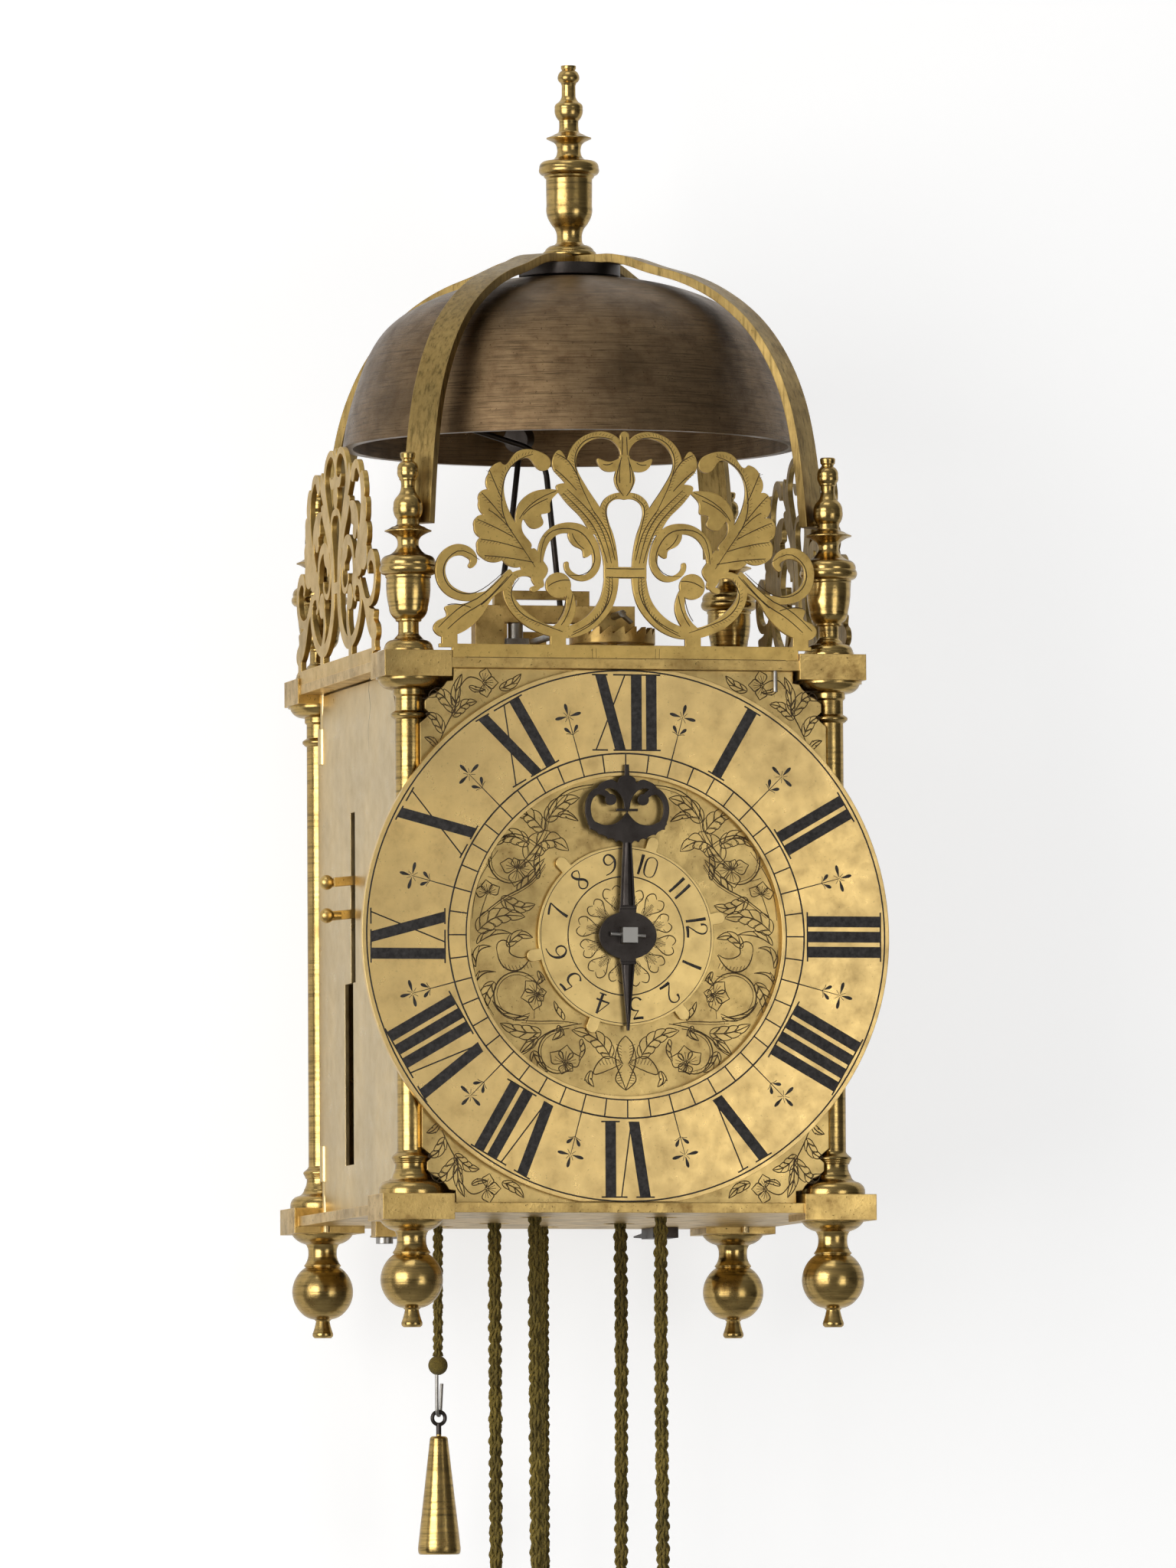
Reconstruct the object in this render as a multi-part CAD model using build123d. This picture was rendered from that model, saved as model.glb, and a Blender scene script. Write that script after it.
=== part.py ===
"""Wall-hung lantern clock with alarm, as separate pieces in millimetres.

Every piece is drawn about the middle of the case: X to the viewer's right, Y from the dial to the wall,
Z up, with zero height at the centre of the dial. It is then moved so that the origin is the point of
the hanging hoop that rests on the wall hook.
"""

from build123d import *
import os
from math import cos, degrees, hypot, pi, radians, sin, sqrt

os.makedirs("parts", exist_ok=True)

# ---- Case ------------------------------------------------------------------------------------------------
SPACING = 130.0            # pillar axis to pillar axis, both ways
CASE_HEIGHT = 160.7        # between the facing sides of the two plates
PLATE_THICK = 3.0
TOP_PLATE_HALF = 73.7      # half width; the plates stand back a little from the faces of their corner blocks
BOTTOM_PLATE_HALF = 74.8
TOP_BLOCK = 20.6           # side of the square block at each corner
BOTTOM_BLOCK = 22.0
TOP_BLOCK_INSET = 1.0      # from the pillar's axis to the middle of its upper block
BLOCK_INSIDE = 2.7         # block height beyond the plate, towards the case
BLOCK_OUTSIDE = 2.1        # block height beyond the plate, away from the case
TENON_RADIUS = 2.9
STUB_RADIUS = 1.8          # thinner end of the tenon, inside a finial or foot
STUB_REACH = 7.0
FIT = 0.05                 # running clearance, on the radius
SEAT = 0.1                 # clearance of parts that are assembled and stay still

# ---- Pillars, feet and finials ---------------------------------------------------------------------------
SHAFT_RADIUS = 4.2
CAPITAL_RADIUS = 9.9
FOOT_HEIGHT = 32.0
FOOT_BALL_RADIUS = 9.4
FINIAL_HEIGHT = 60.1
TOP_FINIAL_HEIGHT = 59.0

# ---- Dial ------------------------------------------------------------------------------------------------
DIAL_PLATE_FRONT = -70.2   # Y of the dial plate's front face
DIAL_PLATE_THICK = 1.5
DIAL_HALF_WIDTH = 62.7
CORNER_HOLLOW = 12.6         # width of a panel's hollow corner, inwards from the pillar's axis
NOTCH = 5.6                  # from the pillar's axis to the tip of the notch beside its ring
RING_RADIUS = 81.3
RING_HOLE_RADIUS = 48.2
RING_THICK = 2.3
RING_GAP = 0.45            # the ring is cut flat above and below to pass between the plates
DISC_RADIUS = 27.1
DISC_THICK = 1.2
DISC_LUG_REACH = 4.0
DISC_LUG_ANGLES = (17, 79, 143, 201, 258, 318)     # clockwise from the top
HAND_THICK = 1.4
HAND_TIP = 51.5
HAND_TAIL = 28.6
SQUARE_END = 4.6
HOUR_ARBOR_RADIUS = 3.2

# ---- Bell and its frame ----------------------------------------------------------------------------------
BELL_RADIUS = 69.7
BELL_LIFT = 69.65          # from the top plate to the bell's mouth
BELL_HEIGHT = 52.5
BELL_WALL = 3.0
WASHER_RADIUS = 15.5
WASHER_THICK = 3.5
STRAP_WIDTH = 10.0
STRAP_THICK = 2.6
STRAP_LIFT = 41.15         # from the top plate to the foot of each arm
BELL_STUD_RADIUS = 2.6

# ---- Frets -----------------------------------------------------------------------------------------------
FRET_THICK = 1.6
FRET_FACE = 73.6           # distance of the outer face from the middle of the case
FRET_BAR_HEIGHT = 4.1
FRET_BAR_HALF = 53.4
FRET_SCREW_X = 30.0
FRET_SCREW_Y = 68.2        # from the middle of the case
FRET_SCREW_RADIUS = 1.2
FRET_X = 0.0795            # width and height of one unit of the fret's drawing grid
FRET_Z = 0.0777

# ---- Doors and back --------------------------------------------------------------------------------------
DOOR_THICK = 1.3
DOOR_PLANE = 66.3          # middle of the door's thickness, from the middle of the case
DOOR_HALF = 59.0           # half the door's width, front to back
DOOR_CORNER_RADIUS = 14.5
DOOR_GAP = 0.6             # above and below the door
HINGE_Y = 53.0
HINGE_RADIUS = 1.1
SLOT_TOP = 41.4
SLOT_MIDDLE = -10.6
SLOT_BOTTOM = -66.0
SLOT_WIDTH = 6.6
SLOT_Y = 8.2               # middle of the upper slot
LOW_SLOT_WIDTH = 12.5
LOW_SLOT_Y = 14.6
BACK_FRONT = 62.8          # Y of the back plate's front face
BACK_THICK = 1.5
BACK_HALF_WIDTH = 58.9

# ---- Movement frame --------------------------------------------------------------------------------------
BAR_WIDTH = 20.0
BAR_THICK = 2.5
BAR_TAB = 8.0              # width of the tab through each plate
FRONT_BAR = -58.0          # Y of the front face of each bar
MIDDLE_BAR = -3.0
BACK_BAR = 46.0
GREAT_AXIS = -27.3         # height of both great wheel arbors
SECOND_AXIS = 10.4
FLY_AXIS = 36.2
PIVOT_RADIUS = 1.0

# ---- Wheels ----------------------------------------------------------------------------------------------
GREAT_TEETH = 64
GREAT_MODULE = 1.04
SECOND_PINION_LEAVES = 8
WHEEL_THICK = 2.2
CONTRATE_TEETH = 48
CONTRATE_RADIUS = 19.0
CROWN_PINION_LEAVES = 6
CROWN_X = 2.0
CROWN_Y = -46.6
CROWN_RADIUS = 13.0
CROWN_TEETH = 21
CROWN_LIFT = 10.95         # from the top plate to the tips of the crown wheel's teeth
HOUR_TEETH = 48
HOUR_PINION_LEAVES = 4
HOUR_MODULE = 1.05
LOCK_TEETH = 56
LOCK_MODULE = 0.8
FLY_LEAVES = 7
COUNT_TEETH = 48
COUNT_PINION_LEAVES = 8
COUNT_MODULE = 0.9
ALARM_WHEEL_RADIUS = 13.0
ALARM_WHEEL_TEETH = 17
ALARM_POST_RADIUS = 2.0

# ---- Pulleys and ropes -----------------------------------------------------------------------------------
ROPE_RADIUS = 2.2
ALARM_ROPE_RADIUS = 1.65
ROPE_TURN = 19.6           # from the pulley's axis to the middle of its rope
ALARM_ROPE_TURN = 16.7
ROPE_GAP = 0.3             # between a rope and its groove
PULLEY_CHEEK = 4.2         # the cheeks stand this far beyond the middle of the rope
GOING_ROPE_Y = -32.0
STRIKE_ROPE_Y = 25.0
ALARM_X = -13.7
ALARM_Y = 57.5
ALARM_AXIS = 35.0
ROPE_END = -196.0          # height at which the ropes to the weights end
KNOT_HEIGHT = -126.0       # knot at the end of the alarm rope
KNOT_RADIUS = 3.0
WEIGHT_LENGTH = 36.4
WEIGHT_RADIUS = 6.6
HOOK_WIRE = 0.55           # radius of the wire of the alarm weight's hook
HOOK_BEND = 1.8            # radius of its lower bend
HOOK_DROP = 12.0           # from its upper loop down to that bend
HOOK_TURN = 60.0           # about the upright
EYE_WIRE = 0.6
EYE_RADIUS = 2.0

# ---- Verge, pendulum, hammers and levers -----------------------------------------------------------------
VERGE_LIFT = 14.65         # from the top plate to the verge's axis
VERGE_RADIUS = 1.1
PALLET_LENGTH = 4.1
PALLET_SPREAD = 50.0       # each pallet leans this far from straight down
BACK_COCK_Y = 68.0
STUD_RADIUS = 2.3
STUD_X = -28.0
BOB_GAP = 1.0              # between the bob and the edge of the bottom plate
PENDULUM_LENGTH = 156.0
BOB_RADIUS = 9.5
HAMMER_X = 6.0
HAMMER_DROP = 8.35         # from the top plate down to the axis of the hammer
HAMMER_ROD_Y = 40.5
HAMMER_ROD_RADIUS = 0.9
HAMMER_HEAD_RADIUS = 4.0
ALARM_VERGE_Y = 46.8
ALARM_VERGE_RADIUS = 1.2
ALARM_ROD_RADIUS = 0.9
ALARM_PALLET = 3.4
LIFT_AXIS_X = -8.0
LIFT_DROP = 20.35          # from the top plate down to the lifting lever's axis
LOCK_DROP = 32.35
BRIDGE_LIFT = 28.35        # from the top plate to the top of the hammer bridge
KNOB_X = -75.0
KNOB_Y = 9.1
KNOB_RADIUS = 2.3
UPPER_KNOB_Z = 20.0
LOWER_KNOB_Z = 9.9
LEVER_SIDE = 1.35          # each lever's arm stands this far to either side of its knob's middle
LEVER_THICK = 1.8

# ---- Wall fittings ---------------------------------------------------------------------------------------
HOOP_HALF = 27.0
HOOP_BAR = 3.2
HOOP_HEIGHT = 7.0
WALL_Y = 101.0             # the wall touches the hoop and the spurs here
HOOP_STEP = 0.5            # the hoop's back stands this far clear of the top plate
HOOP_STEP_GAP = 2.3        # from the edge of the plate to that step

# ---- Worked out from the above ---------------------------------------------------------------------------
HALF = SPACING / 2
PLATE_TOP_Z = CASE_HEIGHT / 2
PLATE_BOTTOM_Z = -CASE_HEIGHT / 2
ROOF = PLATE_TOP_Z + PLATE_THICK                  # upper side of the top plate
FLOOR = PLATE_BOTTOM_Z - PLATE_THICK              # under side of the bottom plate
BLOCK_TOP = ROOF + BLOCK_OUTSIDE
BLOCK_BASE = FLOOR - BLOCK_OUTSIDE
SHAFT_TOP = PLATE_TOP_Z - BLOCK_INSIDE
SHAFT_BOTTOM = PLATE_BOTTOM_Z + BLOCK_INSIDE
RING_TRIM = CASE_HEIGHT / 2 - RING_GAP
BELL_BOTTOM = ROOF + BELL_LIFT
BELL_TOP = BELL_BOTTOM + BELL_HEIGHT
STRAP_END = ROOF + STRAP_LIFT
HUB_BOTTOM = BELL_TOP + WASHER_THICK
HUB_TOP = HUB_BOTTOM + STRAP_THICK
CROWN_TOP = ROOF + CROWN_LIFT
VERGE_Z = ROOF + VERGE_LIFT
HAMMER_Z = PLATE_TOP_Z - HAMMER_DROP
LIFT_AXIS_Z = PLATE_TOP_Z - LIFT_DROP
LOCK_AXIS_Z = PLATE_TOP_Z - LOCK_DROP
PENDULUM_Y = BOTTOM_PLATE_HALF + BOB_RADIUS + BOB_GAP
HOOK = (0, WALL_Y - HOOP_BAR / 2, ROOF + HOOP_STEP)    # where the wall hook bears on the hoop
CORNERS = [(-HALF, -HALF), (HALF, -HALF), (-HALF, HALF), (HALF, HALF)]


def save(name, *solids):
    """Write one node, moved so that the hoop's bearing point is the origin."""
    parts = []
    for shape in solids:
        parts.extend(shape.solids())
    moved = [part.moved(Location((-HOOK[0], -HOOK[1], -HOOK[2]))) for part in parts]
    export_step(moved[0] if len(moved) == 1 else Compound(children=moved), f"parts/{name}.step")


# ---- Shapes that are used again --------------------------------------------------------------------------

def block(x, y, z):
    """Box between two limits on each axis."""
    size = [high - low for low, high in (x, y, z)]
    middle = [(high + low) / 2 for low, high in (x, y, z)]
    return Pos(*middle) * Box(*size)


def rod(radius, start, end):
    """Round bar between two points."""
    start, end = Vector(*start), Vector(*end)
    plane = Plane(origin=start, z_dir=end - start)
    return extrude(plane * Circle(radius), (end - start).length)


def upright(radius, x, y, low, high):
    return rod(radius, (x, y, low), (x, y, high))


def along_y(radius, x, z, front, back):
    return rod(radius, (x, front, z), (x, back, z))


def outline(points):
    """Closed face from (u, v, bulge) points; a bulge is the sagitta, to the right of the way along."""
    edges = []
    for (u0, v0, _), (u1, v1, bulge) in zip(points, points[1:] + points[:1]):
        length = hypot(u1 - u0, v1 - v0)
        if bulge:
            middle = ((u0 + u1) / 2 + bulge * (v1 - v0) / length, (v0 + v1) / 2 - bulge * (u1 - u0) / length)
            edges.append(ThreePointArc((u0, v0), middle, (u1, v1)))
        elif length:
            edges.append(Line((u0, v0), (u1, v1)))
    return make_face(edges)


def turning(points):
    """Solid turned about Z from (radius, height, bulge) points, listed upwards, bulges outwards."""
    low, high = points[0][1], points[-1][1]
    closed = [(0, low, 0)] + list(points) + [(0, high, 0)]
    return revolve(Plane.XZ * outline(closed), Axis.Z)


def smooth(points):
    """Closed face inside a smooth line through the points."""
    return make_face(Spline(*points, periodic=True))


def polygon(points):
    return make_face(Polyline(*points, close=True))


def ribbon(points, widths):
    """Tapered band along a smooth line; widths are half widths at the points, and the ends are round."""
    line = Spline(*points)
    count = 2 * (len(points) - 1)
    left, right = [], []
    for step in range(count + 1):
        share = step / count
        place, way = line @ share, line % share
        at = share * (len(points) - 1)
        low = min(int(at), len(points) - 2)
        half = widths[low] + (widths[low + 1] - widths[low]) * (at - low)
        left.append((place.X - way.Y * half, place.Y + way.X * half))
        right.append((place.X + way.Y * half, place.Y - way.X * half))
    sides = [Spline(*left), Spline(*reversed(right))]
    band = make_face(sides + [Line(left[-1], right[-1]), Line(right[0], left[0])])
    start, end = points[0], points[-1]
    return band + Pos(*start) * Circle(widths[0]) + Pos(*end) * Circle(widths[-1])


def spur(teeth, module, thick, share=0.36):
    """Flat wheel with plain tapered teeth about Z, with one tooth on +X."""
    pitch = 2 * pi / teeth
    root, tip = module * (teeth / 2 - 1.25), module * (teeth / 2 + 0.85)
    points = []
    flank = [(root, -0.75 * share), (tip, -0.28 * share), (tip, 0.28 * share), (root, 0.75 * share)]
    for tooth in range(teeth):
        for radius, offset in flank:
            angle = pitch * (tooth + offset)
            points.append((radius * cos(angle), radius * sin(angle)))
    return extrude(polygon(points), thick)


def crossed(wheel, outer, inner, thick, arms=4, arm=4.0):
    """Cut the web of a wheel away between its rim and hub, leaving arms."""
    gap = extrude(Circle(outer) - Circle(inner), thick)
    for index in range(arms):
        turn = 360 / arms * (index + 0.5)
        gap -= Rot(0, 0, turn) * Pos(outer / 2, 0, thick / 2) * Box(outer + 4, arm, thick * 2)
    return wheel - gap


def facing_y(shape, x, z, front, turn=0.0):
    """Put a shape drawn on Z at an axis along Y, rising towards the back, turned about its own axis."""
    return Pos(x, front, z) * Rot(-90, 0, 0) * Rot(0, 0, turn) * shape


def pulley(turn, rope_radius, half_width):
    """Grooved rope pulley about Z, centred on the rope."""
    groove = turn - rope_radius - ROPE_GAP
    rim = turn + PULLEY_CHEEK * rope_radius / ROPE_RADIUS
    lip = rope_radius + ROPE_GAP + 0.4
    points = [(rim - 2, -half_width, 0), (rim, -half_width + 1.5, 0), (rim, -lip - 0.6, 0), (groove, -lip, 0)]
    points += [(groove, lip, 0), (rim, lip + 0.6, 0), (rim, half_width - 1.5, 0), (rim - 2, half_width, 0)]
    return turning(points)


# ---- Plates, pillars, feet and finials -------------------------------------------------------------------

def corner_plate(size, low, high, block_size, inset, block_low, block_high):
    """A plate with a thick square block, drilled for the pillar's tenon, at every corner."""
    plate = block((-size, size), (-size, size), (low, high))
    half = block_size / 2
    for x, y in CORNERS:
        middle_x, middle_y = x * (1 - inset / HALF), y * (1 - inset / HALF)
        across = (middle_x - half, middle_x + half)
        plate += block(across, (middle_y - half, middle_y + half), (block_low, block_high))
    for x, y in CORNERS:
        plate -= upright(TENON_RADIUS + FIT, x, y, block_low - 1, block_high + 1)
    return plate


def bar_slots(low, high):
    """Slots for the tabs of the three movement bars."""
    half = BAR_TAB / 2 + SEAT
    slots = []
    for front in (FRONT_BAR, MIDDLE_BAR, BACK_BAR):
        slots.append(block((-half, half), (front - SEAT, front + BAR_THICK + SEAT), (low - 1, high + 1)))
    return slots


def make_plates():
    top = corner_plate(TOP_PLATE_HALF, PLATE_TOP_Z, ROOF, TOP_BLOCK, TOP_BLOCK_INSET, SHAFT_TOP, BLOCK_TOP)
    for slot in bar_slots(PLATE_TOP_Z, ROOF):
        top -= slot
    top -= upright(4.0, CROWN_X, CROWN_Y, PLATE_TOP_Z - 1, ROOF + 1)
    top -= upright(STUD_RADIUS + FIT, STUD_X, CROWN_Y, PLATE_TOP_Z - 1, ROOF + 1)
    for turn in (-90, 0, 90):
        for x in (-FRET_SCREW_X, FRET_SCREW_X):
            hole = upright(FRET_SCREW_RADIUS + FIT, x, -FRET_SCREW_Y, PLATE_TOP_Z - 1, ROOF + 1)
            top -= Rot(0, 0, turn) * hole
    top -= upright(ALARM_VERGE_RADIUS + FIT, ALARM_X, ALARM_VERGE_Y, PLATE_TOP_Z - 1, ROOF + 1)
    side = HAMMER_ROD_RADIUS + 1
    slot_y = (HAMMER_ROD_Y - side, HAMMER_ROD_Y + side)
    top -= block((HAMMER_X - side, HAMMER_X + side + 2.4), slot_y, (PLATE_TOP_Z - 1, ROOF + 1))
    bottom = corner_plate(BOTTOM_PLATE_HALF, FLOOR, PLATE_BOTTOM_Z, BOTTOM_BLOCK, 0, BLOCK_BASE, SHAFT_BOTTOM)
    for slot in bar_slots(FLOOR, PLATE_BOTTOM_Z):
        bottom -= slot
    for y, turn, x in rope_places():
        for side in (-1, 1):
            bottom -= upright(5.0, x + side * turn, y, FLOOR - 1, PLATE_BOTTOM_Z + 1)
    for side in (-1, 1):
        hinge = upright(HINGE_RADIUS + FIT, side * DOOR_PLANE, HINGE_Y, BLOCK_BASE - 1, BLOCK_TOP + 1)
        top -= hinge
        bottom -= hinge
    save("top_plate", top)
    save("bottom_plate", bottom)


def rope_places():
    """Y, turning radius and X of the three pulleys."""
    return (
        (GOING_ROPE_Y, ROPE_TURN, 0.0),
        (STRIKE_ROPE_Y, ROPE_TURN, 0.0),
        (ALARM_Y, ALARM_ROPE_TURN, ALARM_X),
    )


def make_pillars():
    neck = SHAFT_RADIUS + 0.6
    length = SHAFT_TOP - SHAFT_BOTTOM
    tenon = BLOCK_INSIDE + PLATE_THICK + BLOCK_OUTSIDE - 0.2
    stub = tenon + STUB_REACH - 0.3
    lower = [
        (STUB_RADIUS, -stub, 0), (STUB_RADIUS, -tenon, 0), (TENON_RADIUS, -tenon, 0), (TENON_RADIUS, 0, 0),
        (CAPITAL_RADIUS, 0, 0), (CAPITAL_RADIUS, 1.0, 0), (7.4, 4.0, 0.7), (5.6, 6.0, -0.4), (neck, 9.3,
            -0.3), (neck + 0.4, 9.8, 0.2), (5.5, 10.4, 0.1), (5.5, 11.6, 0.35), (neck, 12.2, 0),
            (SHAFT_RADIUS, 13.2, -0.1),
    ]
    upper = [
        (SHAFT_RADIUS, length - 12.6, 0), (5.1, length - 12.0, 0.1), (5.1, length - 10.6, 0.45),
        (SHAFT_RADIUS, length - 10.0, 0), (SHAFT_RADIUS, length - 5.8, 0), (neck, length - 5.2, 0),
        (neck, length - 3.6, 0), (CAPITAL_RADIUS - 0.6, length - 0.8, 1.0), (CAPITAL_RADIUS, length - 0.8, 0),
        (CAPITAL_RADIUS, length, 0), (TENON_RADIUS, length, 0), (TENON_RADIUS, length + tenon, 0),
        (STUB_RADIUS, length + tenon, 0), (STUB_RADIUS, length + stub, 0),
    ]
    pillar = turning(lower + upper)
    save("pillars", *[Pos(x, y, SHAFT_BOTTOM) * pillar for x, y in CORNERS])


def make_feet():
    """Ball feet, drawn upwards from the tip."""
    ball = FOOT_BALL_RADIUS
    top = FOOT_HEIGHT
    centre = 14.1
    points = [
        (2.6, 0, 0), (3.1, 0.5, 0), (3.2, 1.3, 0.05), (2.1, 5.2, -0.1), (2.6, 5.7, 0.05),
        (ball * 0.74, centre - ball * 0.64, 0.45), (ball, centre, 0.6),
        (ball * 0.77, centre + ball * 0.64, 0.57),
        (5.3, centre + 7.7, 0.1), (5.5, centre + 7.9, 0), (5.5, centre + 8.5, 0.2), (4.4, top - 5.6, -0.35),
        (5.1, top - 3.2, -0.2), (5.5, top - 3.0, 0), (9.2, top - 0.5, 0.4), (9.4, top, 0),
    ]
    foot = turning(points)
    foot -= upright(STUB_RADIUS + FIT, 0, 0, top - STUB_REACH, top + 1)
    save("feet", *[Pos(x, y, BLOCK_BASE - top) * foot for x, y in CORNERS])


def corner_finial():
    """Vase finial of the corner posts, turned about Z from the block up."""
    return turning([
        (7.5, 0.0, 0), (7.3, 1.3, 0.15), (4.9, 3.5, 0.6), (3.8, 4.6, -0.1), (3.1, 5.7, -0.15), (3.1, 8.9, 0),
        (3.9, 9.2, 0), (3.9, 9.7, 0), (5.9, 13.4, 0.5), (6.6, 22.0, 0.35), (6.9, 22.3, 0), (6.9, 22.9, 0),
        (7.3, 23.1, 0), (8.25, 26.1, 0.9), (6.3, 29.0, 0.75), (3.7, 30.9, -0.3), (3.2, 32.8, -0.2),
        (4.6, 35.1, -0.4), (7.1, 36.2, -0.1), (7.1, 36.5, 0), (4.9, 37.6, -0.1), (3.4, 38.3, -0.1),
        (3.3, 39.9, 0), (4.4, 44.0, 0.5), (3.4, 46.7, 0.3), (2.1, 49.3, -0.25), (2.2, 51.5, -0.1),
        (2.6, 51.8, 0), (2.6, 52.2, 0), (3.15, 54.7, 0.3), (1.8, 57.4, 0.5), (1.8, 57.9, 0),
        (2.2, 58.4, 0), (2.35, 59.7, 0), (2.0, FINIAL_HEIGHT, 0),
    ])


def top_finial():
    """Finial of the bell frame, with the screwed stud that goes down through the frame and the bell."""
    return turning([
        (7.9, 0.0, 0), (7.6, 1.9, 0.5), (4.8, 3.7, 0.5), (4.0, 4.5, 0), (3.9, 7.1, -0.1), (4.7, 9.2, -0.1),
        (6.0, 11.0, 0.1), (7.0, 15.8, 0.45), (7.1, 24.1, 0), (7.6, 24.6, 0), (7.8, 25.2, 0), (9.1, 27.5, 0.7),
        (6.5, 29.6, 0.9), (4.8, 30.2, 0), (3.7, 32.0, -0.2), (3.7, 33.7, -0.1), (5.0, 35.6, -0.3),
        (6.9, 36.5, 0), (6.9, 36.8, 0), (4.6, 37.8, -0.1), (3.9, 38.1, 0), (3.1, 38.8, -0.1),
        (3.0, 42.1, -0.1), (4.3, 45.9, 0.5), (3.4, 47.6, 0.35), (2.15, 49.5, -0.2), (2.1, 52.9, 0),
        (2.4, 53.7, 0), (3.3, 55.8, 0.4), (1.95, 57.6, 0.25), (2.3, 58.1, 0), (2.3, TOP_FINIAL_HEIGHT, 0),
    ])


def make_finials():
    post = corner_finial() - upright(STUB_RADIUS + FIT, 0, 0, -1, STUB_REACH)
    finials = []
    for x, y in CORNERS:
        inward = Vector(-x, -y, 0).normalized()
        hole_height = STRAP_END + 1.5
        start = Vector(x, y, hole_height) + inward * 1.2
        socket = rod(0.9 + FIT, tuple(start), tuple(start + inward * 6))
        finials.append(Pos(x, y, BLOCK_TOP) * post - socket)
    save("corner_finials", *finials)
    save("top_finial", Pos(0, 0, HUB_TOP) * (top_finial() + upright(BELL_STUD_RADIUS, 0, 0, -14, 1)))


# ---- Bell ------------------------------------------------------------------------------------------------

def make_bell():
    outer = [(BELL_RADIUS, 0), (68.0, 10.0), (65.0, 20.0), (61.9, 28.0), (56.4, 36.3), (47.0, 43.2),
             (38.0, 47.2), (27.0, 50.2), (14.0, 52.1)]
    inner = [(BELL_RADIUS - BELL_WALL, 0), (65.0, 9.4), (62.1, 18.9), (59.1, 26.4), (54.2, 33.9),
             (45.4, 40.4), (37.0, 44.2), (26.4, 47.2), (14.0, 49.1)]
    outer = [(radius, BELL_BOTTOM + up) for radius, up in outer]
    inner = [(radius, BELL_BOTTOM + up) for radius, up in inner]
    crown = [Line(outer[-1], (BELL_STUD_RADIUS + 0.3, BELL_TOP))]
    hole = [Line((BELL_STUD_RADIUS + 0.3, BELL_TOP), (BELL_STUD_RADIUS + 0.3, BELL_TOP - BELL_WALL))]
    crown_inside = [Line((BELL_STUD_RADIUS + 0.3, BELL_TOP - BELL_WALL), inner[-1])]
    lip = [Line(inner[0], outer[0])]
    section = make_face([Spline(*outer)] + crown + hole + crown_inside + [Spline(*reversed(inner))] + lip)
    save("bell", revolve(Plane.XZ * section, Axis.Z))
    washer = upright(WASHER_RADIUS, 0, 0, BELL_TOP, HUB_BOTTOM)
    save("bell_washer", washer - upright(BELL_STUD_RADIUS + SEAT, 0, 0, BELL_TOP - 1, HUB_TOP))
    nut_top = BELL_TOP - BELL_WALL
    nut = Pos(0, 0, nut_top - 4.0) * extrude(RegularPolygon(6.0, 4), 3.9)
    return nut - upright(BELL_STUD_RADIUS + SEAT, 0, 0, nut_top - 9, nut_top + 1)


def strap(turn, lap_from_top):
    """One arch of the bell frame with its two pegs; the two arches are halved where they cross."""
    middle = HUB_TOP - STRAP_THICK / 2
    half_arch = [(16.5, 0), (27, -2.7), (41, -7.0), (55, -13.7), (66.5, -23.1), (74, -33.3), (79.2, -44.3),
                 (82.7, -57.3), (84.8, -71.3)]
    half_arch = [(radius, middle + up) for radius, up in half_arch] + [(86.2, STRAP_END)]
    line = Spline(*half_arch, tangents=[(1, 0), (0.1, -1)])
    near, far = [], []
    count = 16
    for step in range(count + 1):
        place, way = line @ (step / count), line % (step / count)
        near.append((place.X + way.Y * STRAP_THICK / 2, place.Y - way.X * STRAP_THICK / 2))
        far.append((place.X - way.Y * STRAP_THICK / 2, place.Y + way.X * STRAP_THICK / 2))
    low, high = (0, middle - STRAP_THICK / 2), (0, middle + STRAP_THICK / 2)
    side = make_face([Line(low, near[0]), Spline(*near), Line(near[-1], far[-1]), Spline(*reversed(far)),
                      Line(far[0], high), Line(high, low)])
    arm = extrude(Plane.XZ * side, STRAP_WIDTH / 2, both=True)
    hub = Pos(0, 0, middle) * Cylinder(STRAP_WIDTH * 0.9, STRAP_THICK)
    foot_radius = half_arch[-1][0]
    peg = rod(0.9, (foot_radius - 0.5, 0, STRAP_END + 1.5), (HALF * sqrt(2) - 1.8, 0, STRAP_END + 1.5))
    arch = arm + peg + mirror(arm + peg, Plane.YZ) + hub
    low, high = (HUB_BOTTOM - 1, middle) if lap_from_top else (middle, HUB_TOP + 1)
    half = STRAP_WIDTH / 2 + 0.02
    lap = block((-half, half), (-half, half), (low, high))
    for side in (-1, 1):
        lap += block((-20, 20), sorted((side * half, side * 20)), (low - 9, high + 9))
    arch -= lap
    arch -= upright(BELL_STUD_RADIUS + SEAT, 0, 0, HUB_BOTTOM - 2, HUB_TOP + 2)
    return Rot(0, 0, turn) * arch


def make_straps():
    save("bell_strap_a", strap(45, True))
    save("bell_strap_b", strap(-45, False))


# ---- Frets -----------------------------------------------------------------------------------------------

def grid(points):
    """Points of the fret's drawing grid, from its middle line and the top of its bar, in millimetres."""
    return [(u * FRET_X, v * FRET_Z) for u, v in points]


def band(points, widths):
    return ribbon(grid(points), [width * FRET_X for width in widths])


def leaf(points):
    return smooth(grid(points))


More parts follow.
